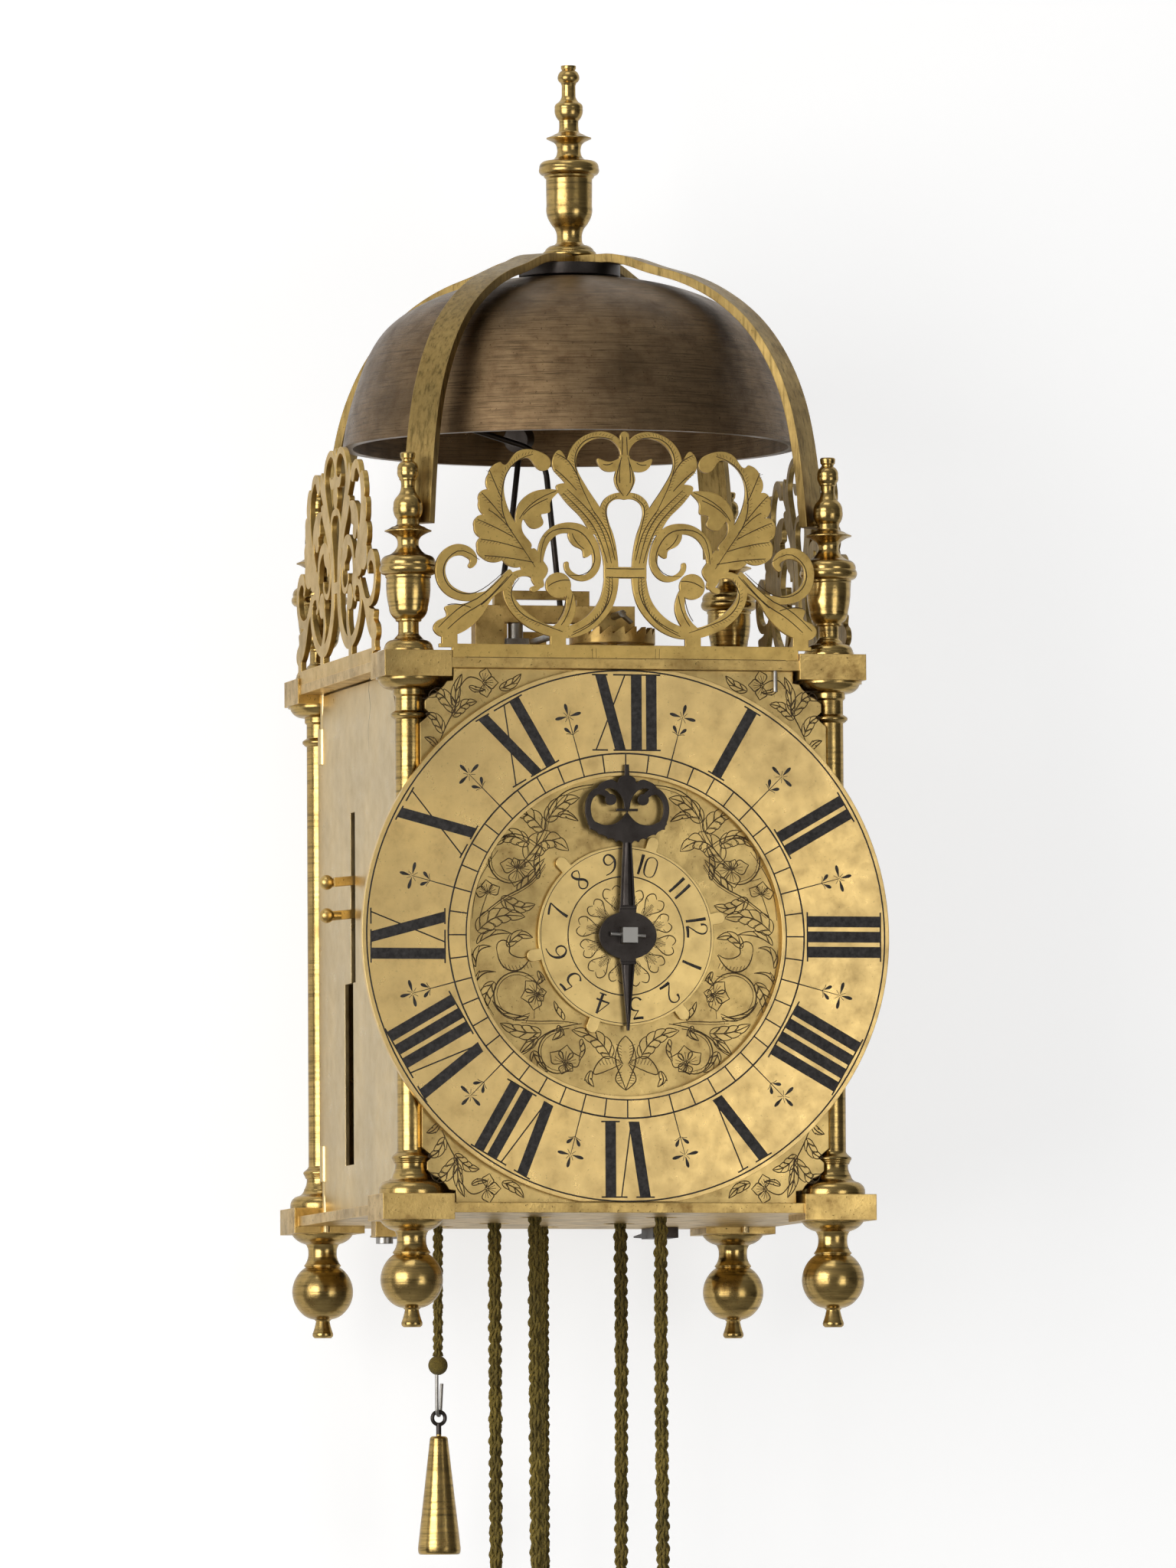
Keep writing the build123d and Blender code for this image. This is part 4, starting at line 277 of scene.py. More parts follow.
def make_finishes(colours):
    brass, dial, bell, iron, steel, wax, cut, rope = (tuple(getattr(colours, name)) for name in (
        "brass", "dial_brass", "bell", "iron", "steel", "wax", "cut", "rope"))
    metal("turned_brass", shade(brass, 0.88), rough=0.19, grain=(1, 1, 9), grain_depth=0.1, dark=0.34,
          spots=0.65, streak=(2, 2, 40))
    metal("cast_brass", shade(brass, 0.95), rough=0.32, grain_depth=0.45, dark=0.42, spots=1.0, edge=0.9)
    # Darker brass of the bell straps, and painted shade for the right fret
    metal("strap_brass_and_painted_shade", shade(brass, 0.62), rough=0.34, grain=(9, 9, 1), grain_depth=0.35, dark=0.3,
          spots=0.6, streak=(30, 30, 3), edge=0.9)
    metal("sheet_brass", shade(dial, (0.86, 0.92, 1.2)), grain=(3, 9, 1), grain_depth=0.2, dark=0.08, spots=0.12)
    metal("plate_brass", shade(dial, (0.82, 0.81, 0.78)), rough=0.32, grain=(2, 1, 1), grain_depth=0.22,
          dark=0.34, spots=0.6)
    metal("ring_brass", shade(dial, (1.0, 0.985, 1.0)), grain=(1, 1, 2), grain_depth=0.16, dark=0.1,
          spots=0.32, wavy=0.06)
    metal("disc_brass", shade(dial, 1.04), rough=0.32, grain=(1, 1, 2), grain_depth=0.1, dark=0.13, spots=0.25,
          wavy=0.08)
    metal("fret_brass", shade(dial, (0.84, 0.79, 0.62)), rough=0.33, grain_depth=0.2, dark=0.26, spots=0.55,
          edge=1.1)
    metal("bell_metal", bell, rough=0.31, grain=(1, 1, 26), grain_depth=0.9, dark=0.55, spots=0.8,
          streak=(3, 3, 90), edge=0.8)
    metal("old_iron", iron, rough=0.38, grain_depth=0.4, dark=0.4, edge=1.6)
    metal("old_steel", steel, grain_depth=0.3, dark=0.3)
    two_metals("weight_metal", "turned_brass", iron, "Z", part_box("alarm_weight")[1].z - EYE_HEIGHT, 0.4 * MM)
    two_metals("arbor_metal", "cast_brass", steel, "Y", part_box("hour_hand")[0].y + STEEL_END, -0.1 * MM)
    wax_finish("wax", wax)
    # Dark fill of the fine cuts, also used as painted shade in the seam under the front fret
    wax_finish("fine_cut_and_seam_shade", cut)
    cord_finish("cord", rope)


# The nodes of each finish. All others are cast brass.
NODES_OF_FINISH = {
    "turned_brass": ["pillars", "feet", "corner_finials", "top_finial", "pendulum_bob"],
    "weight_metal": ["alarm_weight"],
    "arbor_metal": ["hour_wheel"],
    # The right fret takes this darker brass as painted shade on the clock's right side
    "strap_brass_and_painted_shade": ["bell_strap_a", "bell_strap_b", "fret_right"],
    "sheet_brass": ["door_left", "door_right", "back_plate"],
    "plate_brass": ["dial_plate"],
    "disc_brass": ["alarm_disc"],
    "ring_brass": ["chapter_ring"],
    "fret_brass": ["fret_front", "fret_left"],
    "bell_metal": ["bell"],
    "old_iron": ["hour_hand", "bell_washer", "hanging_hoop", "wall_spurs", "fly", "rope_hooks",
                 "strike_hammer", "alarm_hammer"],
    "old_steel": ["verge", "screws_and_pins", "hand_pin", "alarm_hook"],
    "cord": ["going_rope_over", "going_rope_down", "strike_rope_over", "strike_rope_down", "alarm_rope_over",
             "alarm_rope_down", "alarm_knot"],
}


def give_finish(piece, name):
    piece.data.materials.clear()
    piece.data.materials.append(bpy.data.materials[name])


# ---- Making pieces ----

def piece_from(mesh, name, body, finish):
    piece = bpy.data.objects.new(name, mesh)
    bpy.context.scene.collection.objects.link(piece)
    give_finish(piece, finish)
    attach(piece, body)
    return piece


def mesh_from(shape, name):
    mesh = bpy.data.meshes.new(name)
    shape.to_mesh(mesh)
    shape.free()
    return mesh


def add_spline(curve, points, smooth, closed=False):
    """A line of a curve: straight from point to point, or smooth with the points as its controls."""
    spline = curve.splines.new("NURBS" if smooth else "POLY")
    spline.points.add(len(points) - 1)
    for control, point in zip(spline.points, points):
        control.co = (*point, 1)
    spline.use_cyclic_u = closed
    if smooth:
        spline.order_u = 3
        spline.use_endpoint_u = not closed
    return spline


def mesh_of_curve(curve):
    holder = bpy.data.objects.new(curve.name + "_draft", curve)
    bpy.context.scene.collection.objects.link(holder)
    bpy.context.view_layer.update()
    graph = bpy.context.evaluated_depsgraph_get()
    mesh = bpy.data.meshes.new_from_object(holder.evaluated_get(graph))
    bpy.data.objects.remove(holder)
    return mesh


def add_block(shape, middle, size, round_by):
    """A block with rounded edges; its middle and size in mm."""
    scale = Matrix.Diagonal((*(side * MM for side in size), 1))
    made = set(bmesh.ops.create_cube(shape, size=1, matrix=Matrix.Translation(place(*middle)) @ scale)["verts"])
    edges = [edge for edge in shape.edges if made.issuperset(edge.verts)]
    bmesh.ops.bevel(shape, geom=edges, offset=round_by * MM, segments=2, profile=0.5, affect="EDGES")


def flat_turn(face):
    """Stands a drawing (x across, y up, z towards the viewer, mm) up against a face that looks forward."""
    return Matrix.Translation(place(0, face, 0)) @ Matrix.Rotation(math.radians(90), 4, "X") @ Matrix.Scale(MM, 4)


def curved(start, bend, end, share):
    """A point on the line from start to end that bows out towards bend, and its direction there."""
    a, b, c = Vector(start), Vector(bend), Vector(end)
    spot = a * (1 - share) ** 2 + b * (2 * share * (1 - share)) + c * share ** 2
    return spot, ((b - a) * (1 - share) + (c - b) * share).normalized()


class Engraving:
    """Strokes on a flat face, in mm: tapering lines, and filled shapes with a little height."""

    LINE_HEIGHT = 0.22           # of a line's own round height
    FILL_HEIGHT = 0.03

    def __init__(self, name, line, mirror=False):
        self.lines = bpy.data.curves.new(name + "_lines", "CURVE")
        self.lines.dimensions = "3D"
        self.lines.bevel_depth = line / 2
        self.lines.bevel_resolution = 0
        self.lines.resolution_u = 3
        self.fills = bpy.data.curves.new(name + "_fills", "CURVE")
        self.fills.dimensions = "2D"
        self.fills.fill_mode = "BOTH"
        self.fills.extrude = self.FILL_HEIGHT
        self.fills.resolution_u = 4
        self.name = name
        self.mirror = mirror

    def stroke(self, points, weight=1.0, taper=True, closed=False, weights=None):
        """A line through control points. Its weight runs thin, full, thin where it tapers."""
        self.add_stroke(points, weight, taper, closed, weights)
        if self.mirror:
            self.add_stroke([(-x, y) for x, y in points], weight, taper, closed, weights)

    def add_stroke(self, points, weight, taper, closed, weights=None):
        last = len(points) - 1
        spline = add_spline(self.lines, [(x, y, 0) for x, y in points], last > 1, closed)
        for index, point in enumerate(spline.points):
            full = math.sin(math.pi * (index + 0.6) / (last + 1.2))
            point.radius = weight * (weights[index] if weights else 0.4 + 0.6 * full if taper else 1.0)

    def fill(self, points, smooth=False):
        add_spline(self.fills, [(x, y, 0) for x, y in points], smooth, True)

    def ring(self, radius, weight):
        steps = 48
        reach = radius / math.cos(math.pi / steps)
        points = [on_clock(360 / steps * step, reach) for step in range(steps)]
        self.add_stroke(points, weight, taper=False, closed=True)

    def leaf(self, start, bend, end, width, lobes, sides=(-1, 1), hatch=True):
        """Acanthus leaf: a midrib, a scalloped edge on each side, and fine veins towards the lobes."""
        self.stroke([curved(start, bend, end, share)[0] for share in (0, 0.25, 0.5, 0.75, 0.96)])
        for side in sides:
            previous = Vector(start)
            for lobe in range(lobes):
                last = lobe == lobes - 1
                share = (lobe + 1) / (lobes + 0.15)
                spot, along = curved(start, bend, end, share)
                out = Vector((-along.y, along.x)) * side * width
                forward = along * width
                swell = math.sin(math.pi * min(0.94, 0.3 + 0.68 * share))
                tip = Vector(end) if last else spot + out * swell
                back, _ = curved(start, bend, end, share - 0.35 / lobes)
                bulge = previous.lerp(tip, 0.6) + out * 0.42 - forward * 0.1
                self.stroke([previous, previous + out * 0.35, bulge, tip], 0.85)
                inward = tip.lerp(back, 0.42)
                if not last:
                    self.stroke([tip, tip.lerp(inward, 0.6) + forward * 0.1, inward], 0.7)
                if hatch:
                    for vein in (0.15, 0.38, 0.62):
                        root, _ = curved(start, bend, end, max(0.0, share - (0.75 - 0.4 * vein) / lobes))
                        aim = tip.lerp(inward, vein)
                        self.stroke([root, root.lerp(aim, 0.5) + forward * 0.06, root.lerp(aim, 0.78)], 0.42)
                previous = tip if last else inward

    def leaves(self, rows):
        """Leaves from rows of start, bend, end, width and lobes, then the side where only one has an edge."""
        for start, bend, end, width, lobes, *side in rows:
            self.leaf(start, bend, end, width, lobes, side or (-1, 1))

    def flower(self, centre, facing, size, petals, spread):
        """Flower of pointed petals with wavy edges, fine lines at their feet, and a small eye."""
        middle = Vector(centre)
        for number in range(petals):
            petal = turned(facing + spread * (number - (petals - 1) / 2))

            def at(u, v):
                return middle + petal(u, v) * size

            for side in (-1, 1):
                self.stroke([at(0, 0.1), at(side * 0.36, 0.35), at(side * 0.42, 0.62), at(side * 0.2, 0.78),
                             at(0, 1)], 0.9)
                self.stroke([at(0, 0.12), at(side * 0.1, 0.34), at(side * 0.2, 0.6)], 0.45)
            self.stroke([at(0, 0.1), at(0, 0.66)], 0.55)
        self.stroke([middle + Vector(on_clock(turn, 0.09 * size)) for turn in (90, 0, -90, -180)], 0.8, closed=True)

    def scroll(self, centre, radius, start, turn, weight, shrink):
        """Spiral about a centre, from an angle that on_clock takes and through a turn, both in degrees."""
        count = max(4, round(abs(turn) / 40))
        points = []
        for step in range(count + 1):
            share = step / count
            x, y = on_clock(start + turn * share, radius * (1 - shrink * share) * 1.03)
            points.append((centre[0] + x, centre[1] + y))
        self.stroke(points, weight)

    def piece(self, face, body, finish):
        shape = bmesh.new()
        for curve, share in ((self.lines, self.LINE_HEIGHT), (self.fills, 1)):
            if curve.splines:
                mesh = mesh_of_curve(curve)
                mesh.transform(Matrix.Diagonal((1, 1, share, 1)))
                shape.from_mesh(mesh)
        bmesh.ops.transform(shape, matrix=flat_turn(face), verts=shape.verts)
        return piece_from(mesh_from(shape, self.name), self.name, body, finish)


# ---- Cords ----

def over(right, left, depth, start, side, round_by, falls):
    """Route of a cord over a pulley: up its right side, round the top, and down its left."""
    top = side + round_by
    return [(right, depth, start), (right, depth, side), (right - round_by, depth, top),
            (left + round_by, depth, top), (left, depth, side), *((x, depth, z) for x, z in falls)]


def down(depth, falls):
    return [(x, depth, z) for x, z in falls]


ROPE = 19.6                  # the thick cords hang this far from the middle, in mm
GOING, STRIKE, ALARM = -32, 25, 57.5
HOOKS = -196                 # where the cords meet their hooks

# Control points of each cord in mm from the middle of the case, its size, and where its far end goes.
CORD_ROUTES = {
    "going_rope_over": (over(ROPE, -ROPE, GOING, -27.3, -19.2, 11.5, [(-ROPE, -50), (-19.8, -120), (-ROPE, HOOKS)]),
                        "cord", "fitting"),
    "going_rope_down": (down(GOING, [(ROPE, -27.5), (ROPE, -60), (19.2, -130), (ROPE, HOOKS)]), "cord", "fitting"),
    "strike_rope_over": (over(ROPE, -ROPE, STRIKE, -27.3, -19.2, 11.5, [(-ROPE, -50), (-19.5, -120), (-ROPE, HOOKS)]),
                         "cord", "fitting"),
    "strike_rope_down": (down(STRIKE, [(ROPE, -27.5), (ROPE, -60), (20.4, -110), (ROPE, HOOKS)]), "cord", "fitting"),
    "alarm_rope_over": (over(3.0, -30.4, ALARM, 35, 41.9, 9.8, [(-30.4, 10), (-30.0, -60), (-30.4, -123.2)]),
                        "alarm_cord", "knot"),
    "alarm_rope_down": (down(ALARM, [(3.0, 34.8), (3.0, 0), (3.3, -100), (3.0, HOOKS)]), "alarm_cord", "fitting"),
}


def route_points(name, points):
    """The smooth line through a cord's control points, as points of the frame."""
    curve = bpy.data.curves.new(name + "_route", "CURVE")
    curve.dimensions = "3D"
    curve.resolution_u = 24
    add_spline(curve, [place(*point) for point in points], True)
    return [vertex.co.copy() for vertex in mesh_of_curve(curve).vertices]


def spaced(points, step):
    """The same line, walked in equal steps: each with its place, its direction and the length so far."""
    lengths = [0.0]
    for a, b in zip(points, points[1:]):
        lengths.append(lengths[-1] + (b - a).length)
    count = max(2, round(lengths[-1] / step))
    walked, index = [], 0
    for number in range(count + 1):
        wanted = lengths[-1] * number / count
        while index < len(points) - 2 and lengths[index + 1] < wanted:
            index += 1
        part = (wanted - lengths[index]) / (lengths[index + 1] - lengths[index])
        walked.append((points[index].lerp(points[index + 1], part),
                       (points[index + 1] - points[index]).normalized(), wanted))
    return walked


def plaited(name, points, diameter, pitch):
    """Four strands of three yarns, plaited round the cord's line."""
    curve = bpy.data.curves.new(name, "CURVE")
    curve.dimensions = "3D"
    curve.bevel_depth = diameter * 0.107
    curve.bevel_resolution = 1
    curve.use_fill_caps = True
    forward = Vector((0, -1, 0))
    walked = spaced(points, 0.75 * MM)
    middle, sway, twist = diameter * 0.245, diameter * 0.085, diameter * 0.125
    strands, yarns, yarn_pitch, flat = 4, 3, pitch * 0.36, 1.25
    for strand in range(strands):
        way = -1 if strand % 2 else 1
        for yarn in range(yarns):
            line = []
            for centre, along, so_far in walked:
                gone = 2 * math.pi * so_far / pitch
                angle = way * gone + 2 * math.pi * strand / strands
                spin = way * 2 * math.pi * so_far / yarn_pitch + 2 * math.pi * yarn / yarns
                out = along.cross(forward).normalized() * math.cos(angle) + forward * math.sin(angle)
                reach = middle + sway * way * math.sin(2 * gone) + twist * math.cos(spin)
                line.append(centre + out * reach + along.cross(out) * (twist * flat * math.sin(spin)))
            add_spline(curve, line, False)
    return mesh_of_curve(curve)


# ---- Operators ----

def settings():
    return bpy.context.scene.clock_sizes, bpy.context.scene.clock_colours


class CLOCK_OT_camera(bpy.types.Operator):
    """Set the camera, low and to the left of the clock"""
    bl_idname = "clock.camera"
    bl_label = "Camera"

    AZIMUTH, ELEVATION, ROLL = -12.871, -3.537, -0.319
    DISTANCE = 4600
    AIM = (4.9, 0, 50.2)
    SENSOR, LENS = 36, 345.6

    def execute(self, context):
        azimuth, elevation, roll = (math.radians(v) for v in (self.AZIMUTH, self.ELEVATION, self.ROLL))
        forward = Vector((-math.sin(azimuth) * math.cos(elevation), math.cos(azimuth) * math.cos(elevation),
                          -math.sin(elevation)))
        right = Vector((math.cos(azimuth), math.sin(azimuth), 0))
        up = right.cross(forward)
        right, up = right * math.cos(roll) + up * math.sin(roll), up * math.cos(roll) - right * math.sin(roll)
        data = bpy.data.cameras.new("camera")
        data.sensor_width, data.lens = self.SENSOR, self.LENS
        data.clip_start, data.clip_end = 0.5, 60
        camera = bpy.data.objects.new("camera", data)
        context.scene.collection.objects.link(camera)
        turn = Matrix((right, up, -forward)).transposed().to_4x4()
        camera.matrix_world = Matrix.Translation(place(*self.AIM) - forward * self.DISTANCE * MM) @ turn
        context.scene.camera = camera
        return {"FINISHED"}


class CLOCK_OT_finishes(bpy.types.Operator):
    """Give every carried-over part its metal"""
    bl_idname = "clock.finishes"
    bl_label = "Finishes"

    def execute(self, context):
        make_finishes(settings()[1])
        finish_of = {name: finish for finish, names in NODES_OF_FINISH.items() for name in names}
        for name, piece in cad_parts.items():
            give_finish(piece, finish_of.get(name, "cast_brass"))
        return {"FINISHED"}


class CLOCK_OT_cords(bpy.types.Operator):
    """Plait the cords along their routes over the pulleys"""
    bl_idname = "clock.cords"
    bl_label = "Cords"

    def execute(self, context):
        sizes = settings()[0]
        for name, (route, size, far_end) in CORD_ROUTES.items():
            points = route_points(name, route)
            diameter = getattr(sizes, size)
            cord = piece_from(plaited(name + "_cord", points, diameter, sizes.plait * diameter / sizes.cord),
                              name + "_cord", "case", "cord")
            total = sum((b - a).length for a, b in zip(points, points[1:]))
            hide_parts(name)
            tuple(points[0])
            [tuple(p) for p in points]
        return {"FINISHED"}


class CLOCK_OT_chapter_ring(bpy.types.Operator):
    """Engrave the hour numerals, the track and the half hour marks on the ring"""
    bl_idname = "clock.chapter_ring"
    bl_label = "Chapter ring"

    NUMERALS = ["XII", "I", "II", "III", "IIII", "V", "VI", "VII", "VIII", "IX", "X", "XI"]
    WIDTHS = {"I": 4.6, "V": 10.6, "X": 11.4}
    # A petal's outline: along its length and across its width, both as shares.
    PETAL = [(0.0, 0.0), (0.3, 0.24), (0.72, 0.62), (1.02, 0.3), (1.02, -0.3), (0.72, -0.62), (0.3, -0.24)]

    def execute(self, context):
        sizes = settings()[0]
        work = Engraving("ring_engraving", sizes.line / MM)
        outer, inner = sizes.track_outer / MM, sizes.track_inner / MM
        for radius, weight in ((sizes.rim_line / MM, 1), (outer, 1.1), (inner, 0.9)):
            work.ring(radius, weight)
        for quarter in range(sizes.quarters):
            angle = 360 * quarter / sizes.quarters
            work.stroke([on_clock(angle, inner), on_clock(angle, outer)], 0.9, taper=False)
        for hour, text in enumerate(self.NUMERALS):
            self.numeral(work, text, 30 * hour)
            self.half_hour(work, 30 * hour + 15, outer)
        work.piece(RING_FACE, "case", "wax")
        return {"FINISHED"}

    def numeral(self, work, text, angle):
        sizes = settings()[0]
        top, foot, thick = (v / MM for v in (sizes.numeral_top, sizes.numeral_foot, sizes.stroke))
        half = thick / 2
        at = turned(angle)

        def thick_bar(u_foot, u_top):
            work.fill([at(u_foot - half, foot), at(u_foot + half, foot), at(u_top + half, top),
                       at(u_top - half, top)])

        def thin_bar(u_foot, u_top):
            work.stroke([at(u_foot, foot), at(u_top, top)], 0.9, taper=False)

        def serif(u, v, reach):
            work.stroke([at(u - reach, v), at(u + reach, v)], taper=False)

        start = -sum(self.WIDTHS[letter] for letter in text) / 2
        for letter in text:
            end = start + self.WIDTHS[letter]
            middle = (start + end) / 2
            if letter == "I":
                thick_bar(middle, middle)
                for v in (top, foot):
                    serif(middle, v, half + 1.2)
            elif letter == "V":
                thick_bar(middle + 0.4, start + half + 0.6)
                thin_bar(middle + 1.2, end - 1.0)
                serif(start + half + 0.6, top, half + 1.2)
                serif(end - 1.0, top, 1.8)
            else:
                thick_bar(end - half - 1.0, start + half + 1.0)
                thin_bar(start + 1.2, end - 1.2)
                for v in (top, foot):
                    serif(start + half + 0.8, v, 2.4)
                    serif(end - half - 0.8, v, 2.4)
            start = end

    def half_hour(self, work, angle, stalk_foot):
        at = turned(angle)

        def petal(u, v, turn, reach):
            leaf, foot, wide = turned(turn), Vector((u, v)), 0.95
            work.fill([at(*(foot + leaf(wide * y, reach * x))) for x, y in self.PETAL], smooth=True)

        work.stroke([at(0, stalk_foot), at(0, 60.0), at(0, 68.4)], 0.8, weights=[1.0, 0.8, 0.5])
        for side in (-1, 1):
            petal(side * 0.25, 62.8, side * 38, 2.9)
            work.stroke([at(side * 0.1, 62.6), at(side * 1.5, 63.4), at(side * 2.0, 63.2)], 0.5)
            petal(side * 0.15, 68.2, side * 88, 3.9)
            work.stroke([at(side * 0.3, 68.4), at(side * 1.1, 69.7)], 0.4)
            work.stroke([at(side * 0.3, 67.9), at(side * 1.3, 66.8)], 0.4)
        petal(0, 68.4, 0, 3.7)


# Each figure as strokes in a box one high, with a width at each point.
FIGURES = {
    "0": [([(0.28, 1), (0.02, 0.96), (-0.02, 0.5), (0.04, 0.02), (0.28, 0)], [0.4, 0.7, 1.3, 0.7, 0.4]),
          ([(0.28, 1), (0.54, 0.96), (0.58, 0.5), (0.52, 0.02), (0.28, 0)], [0.4, 0.6, 0.8, 0.6, 0.4])],
    "1": [([(0.2, 0), (0.22, 0.5), (0.2, 1)], [1.3, 1.5, 1.7])],
    "2": [([(0.02, 0.72), (0, 0.96), (0.3, 1.04), (0.52, 0.84), (0.4, 0.5), (0.16, 0.26), (0, 0.04)],
           [1.3, 0.7, 0.5, 0.9, 0.8, 0.6, 0.5]), ([(0, 0.03), (0.26, 0.05), (0.56, 0)], [1.6, 1.6, 1.2])],
    "3": [([(0, 1), (0.26, 0.96), (0.5, 1)], [1.4, 1.4, 1]), ([(0.5, 1), (0.2, 0.62)], [0.5, 0.5]),
          ([(0.18, 0.62), (0.48, 0.62), (0.6, 0.32), (0.44, 0), (0.12, -0.04), (0, 0.14)],
           [0.5, 0.9, 1.5, 0.9, 0.5, 1.2])],
    "4": [([(0.4, 1), (0.41, 0.5), (0.4, 0)], [1.3, 1.4, 1.4]), ([(0.4, 1), (-0.04, 0.32)], [0.5, 0.5]),
          ([(-0.04, 0.32), (0.3, 0.34), (0.64, 0.32)], [0.9, 1.1, 1]), ([(0.22, 0), (0.58, 0)], [0.7, 0.7])],
    "5": [([(0.1, 0.98), (0.32, 0.94), (0.54, 1)], [1.5, 1.5, 1]), ([(0.12, 0.96), (0.06, 0.6)], [0.5, 0.5]),
          ([(0.06, 0.6), (0.36, 0.68), (0.58, 0.4), (0.46, 0.04), (0.14, -0.04), (0, 0.12)],
           [0.5, 0.9, 1.5, 0.9, 0.5, 1.2])],
    "6": [([(0.56, 0.98), (0.22, 0.92), (-0.02, 0.56), (0, 0.18), (0.28, -0.04), (0.54, 0.16), (0.5, 0.46),
            (0.26, 0.56), (0.06, 0.4)], [0.5, 0.7, 1.3, 1.4, 0.7, 1, 0.9, 0.5, 0.5])],
    "7": [([(-0.02, 0.92), (0.24, 0.98), (0.56, 1)], [1, 1.5, 0.8]), ([(0.56, 1), (0.3, 0.5), (0.2, 0)],
                                                                     [0.6, 1.1, 1.6])],
    "8": [([(0.48, 0.9), (0.26, 1.04), (0.04, 0.88), (0.16, 0.6), (0.46, 0.38), (0.52, 0.12), (0.26, -0.04),
            (0, 0.14), (0.1, 0.42), (0.42, 0.64), (0.48, 0.88)],
           [0.6, 0.6, 1, 1.4, 1.4, 0.9, 0.6, 0.8, 0.6, 0.5, 0.6])],
    "9": [([(0, 0.02), (0.34, 0.08), (0.58, 0.44), (0.56, 0.82), (0.28, 1.04), (0.02, 0.84), (0.06, 0.54),
            (0.3, 0.44), (0.5, 0.6)], [0.5, 0.7, 1.3, 1.4, 0.7, 1, 0.9, 0.5, 0.5])],
}

# The angle at which each figure stands on the disc, as it is set.
ALARM_FIGURES = {10: 17, 11: 48, 12: 82, 1: 112, 2: 142, 3: 172, 4: 200, 5: 231, 6: 257, 7: 289, 8: 320, 9: 347}


class CLOCK_OT_alarm_disc(bpy.types.Operator):
    """Engrave the twelve figures, the lines and the rosette on the alarm disc"""
    bl_idname = "clock.alarm_disc"
    bl_label = "Alarm disc"

    FIGURE_FOOT, FIGURE_HEIGHT = 18.9, 6.2
    PETALS, FIRST_PETAL, PETAL_FOOT = 12, 12, 8.2

    def execute(self, context):
        sizes = settings()[0]
        work = Engraving("alarm_figures", sizes.line / MM)
        for radius, weight in ((17.9, 0.8), (26.3, 0.45)):
            work.ring(radius, weight)
        for number, angle in ALARM_FIGURES.items():
            self.number(work, str(number), angle)
        work.piece(DISC_FACE, "alarm_disc", "wax")
        rosette = Engraving("alarm_rosette", sizes.leaf_line / MM)
        for step in range(self.PETALS):
            self.petal(rosette, 360 / self.PETALS * step + self.FIRST_PETAL, 15.6 if step % 2 else 14.6)
        rosette.piece(DISC_FACE, "alarm_disc", "fine_cut_and_seam_shade")
        return {"FINISHED"}

    def number(self, work, text, angle):
        at = turned(angle)
        foot, high = self.FIGURE_FOOT, self.FIGURE_HEIGHT
        widths = [2.7 if digit == "1" else 4.5 for digit in text]
        start = 0.5 - sum(widths) / 2
        for digit, wide in zip(text, widths):
            for points, weights in FIGURES[digit]:
                work.stroke([at(start + x * high, foot + y * high) for x, y in points], 1.25, weights=weights)
            start += wide

    def petal(self, work, angle, reach):
        foot = self.PETAL_FOOT
        for side in (-1, 1):
            edge = ((3, 8.6), (9, 10.6), (14, reach * 0.86), (10, reach * 0.97), (5, reach), (1, reach * 0.93))
            work.stroke([on_clock(angle + side * turn, radius) for turn, radius in edge], 0.9)
            for turn, tip in ((1.6, 12.4), (3.4, 11.6), (5.2, 10.9), (7.2, 10.0)):
                work.stroke([on_clock(angle + side * turn, foot), on_clock(angle + side * turn * 1.25, tip)], 0.45)
            work.stroke([on_clock(angle + side * 12, reach * 0.84), on_clock(angle + side * 8, reach * 0.8)], 0.5)
        work.stroke([on_clock(angle, foot), on_clock(angle, reach * 0.8)], 0.55)


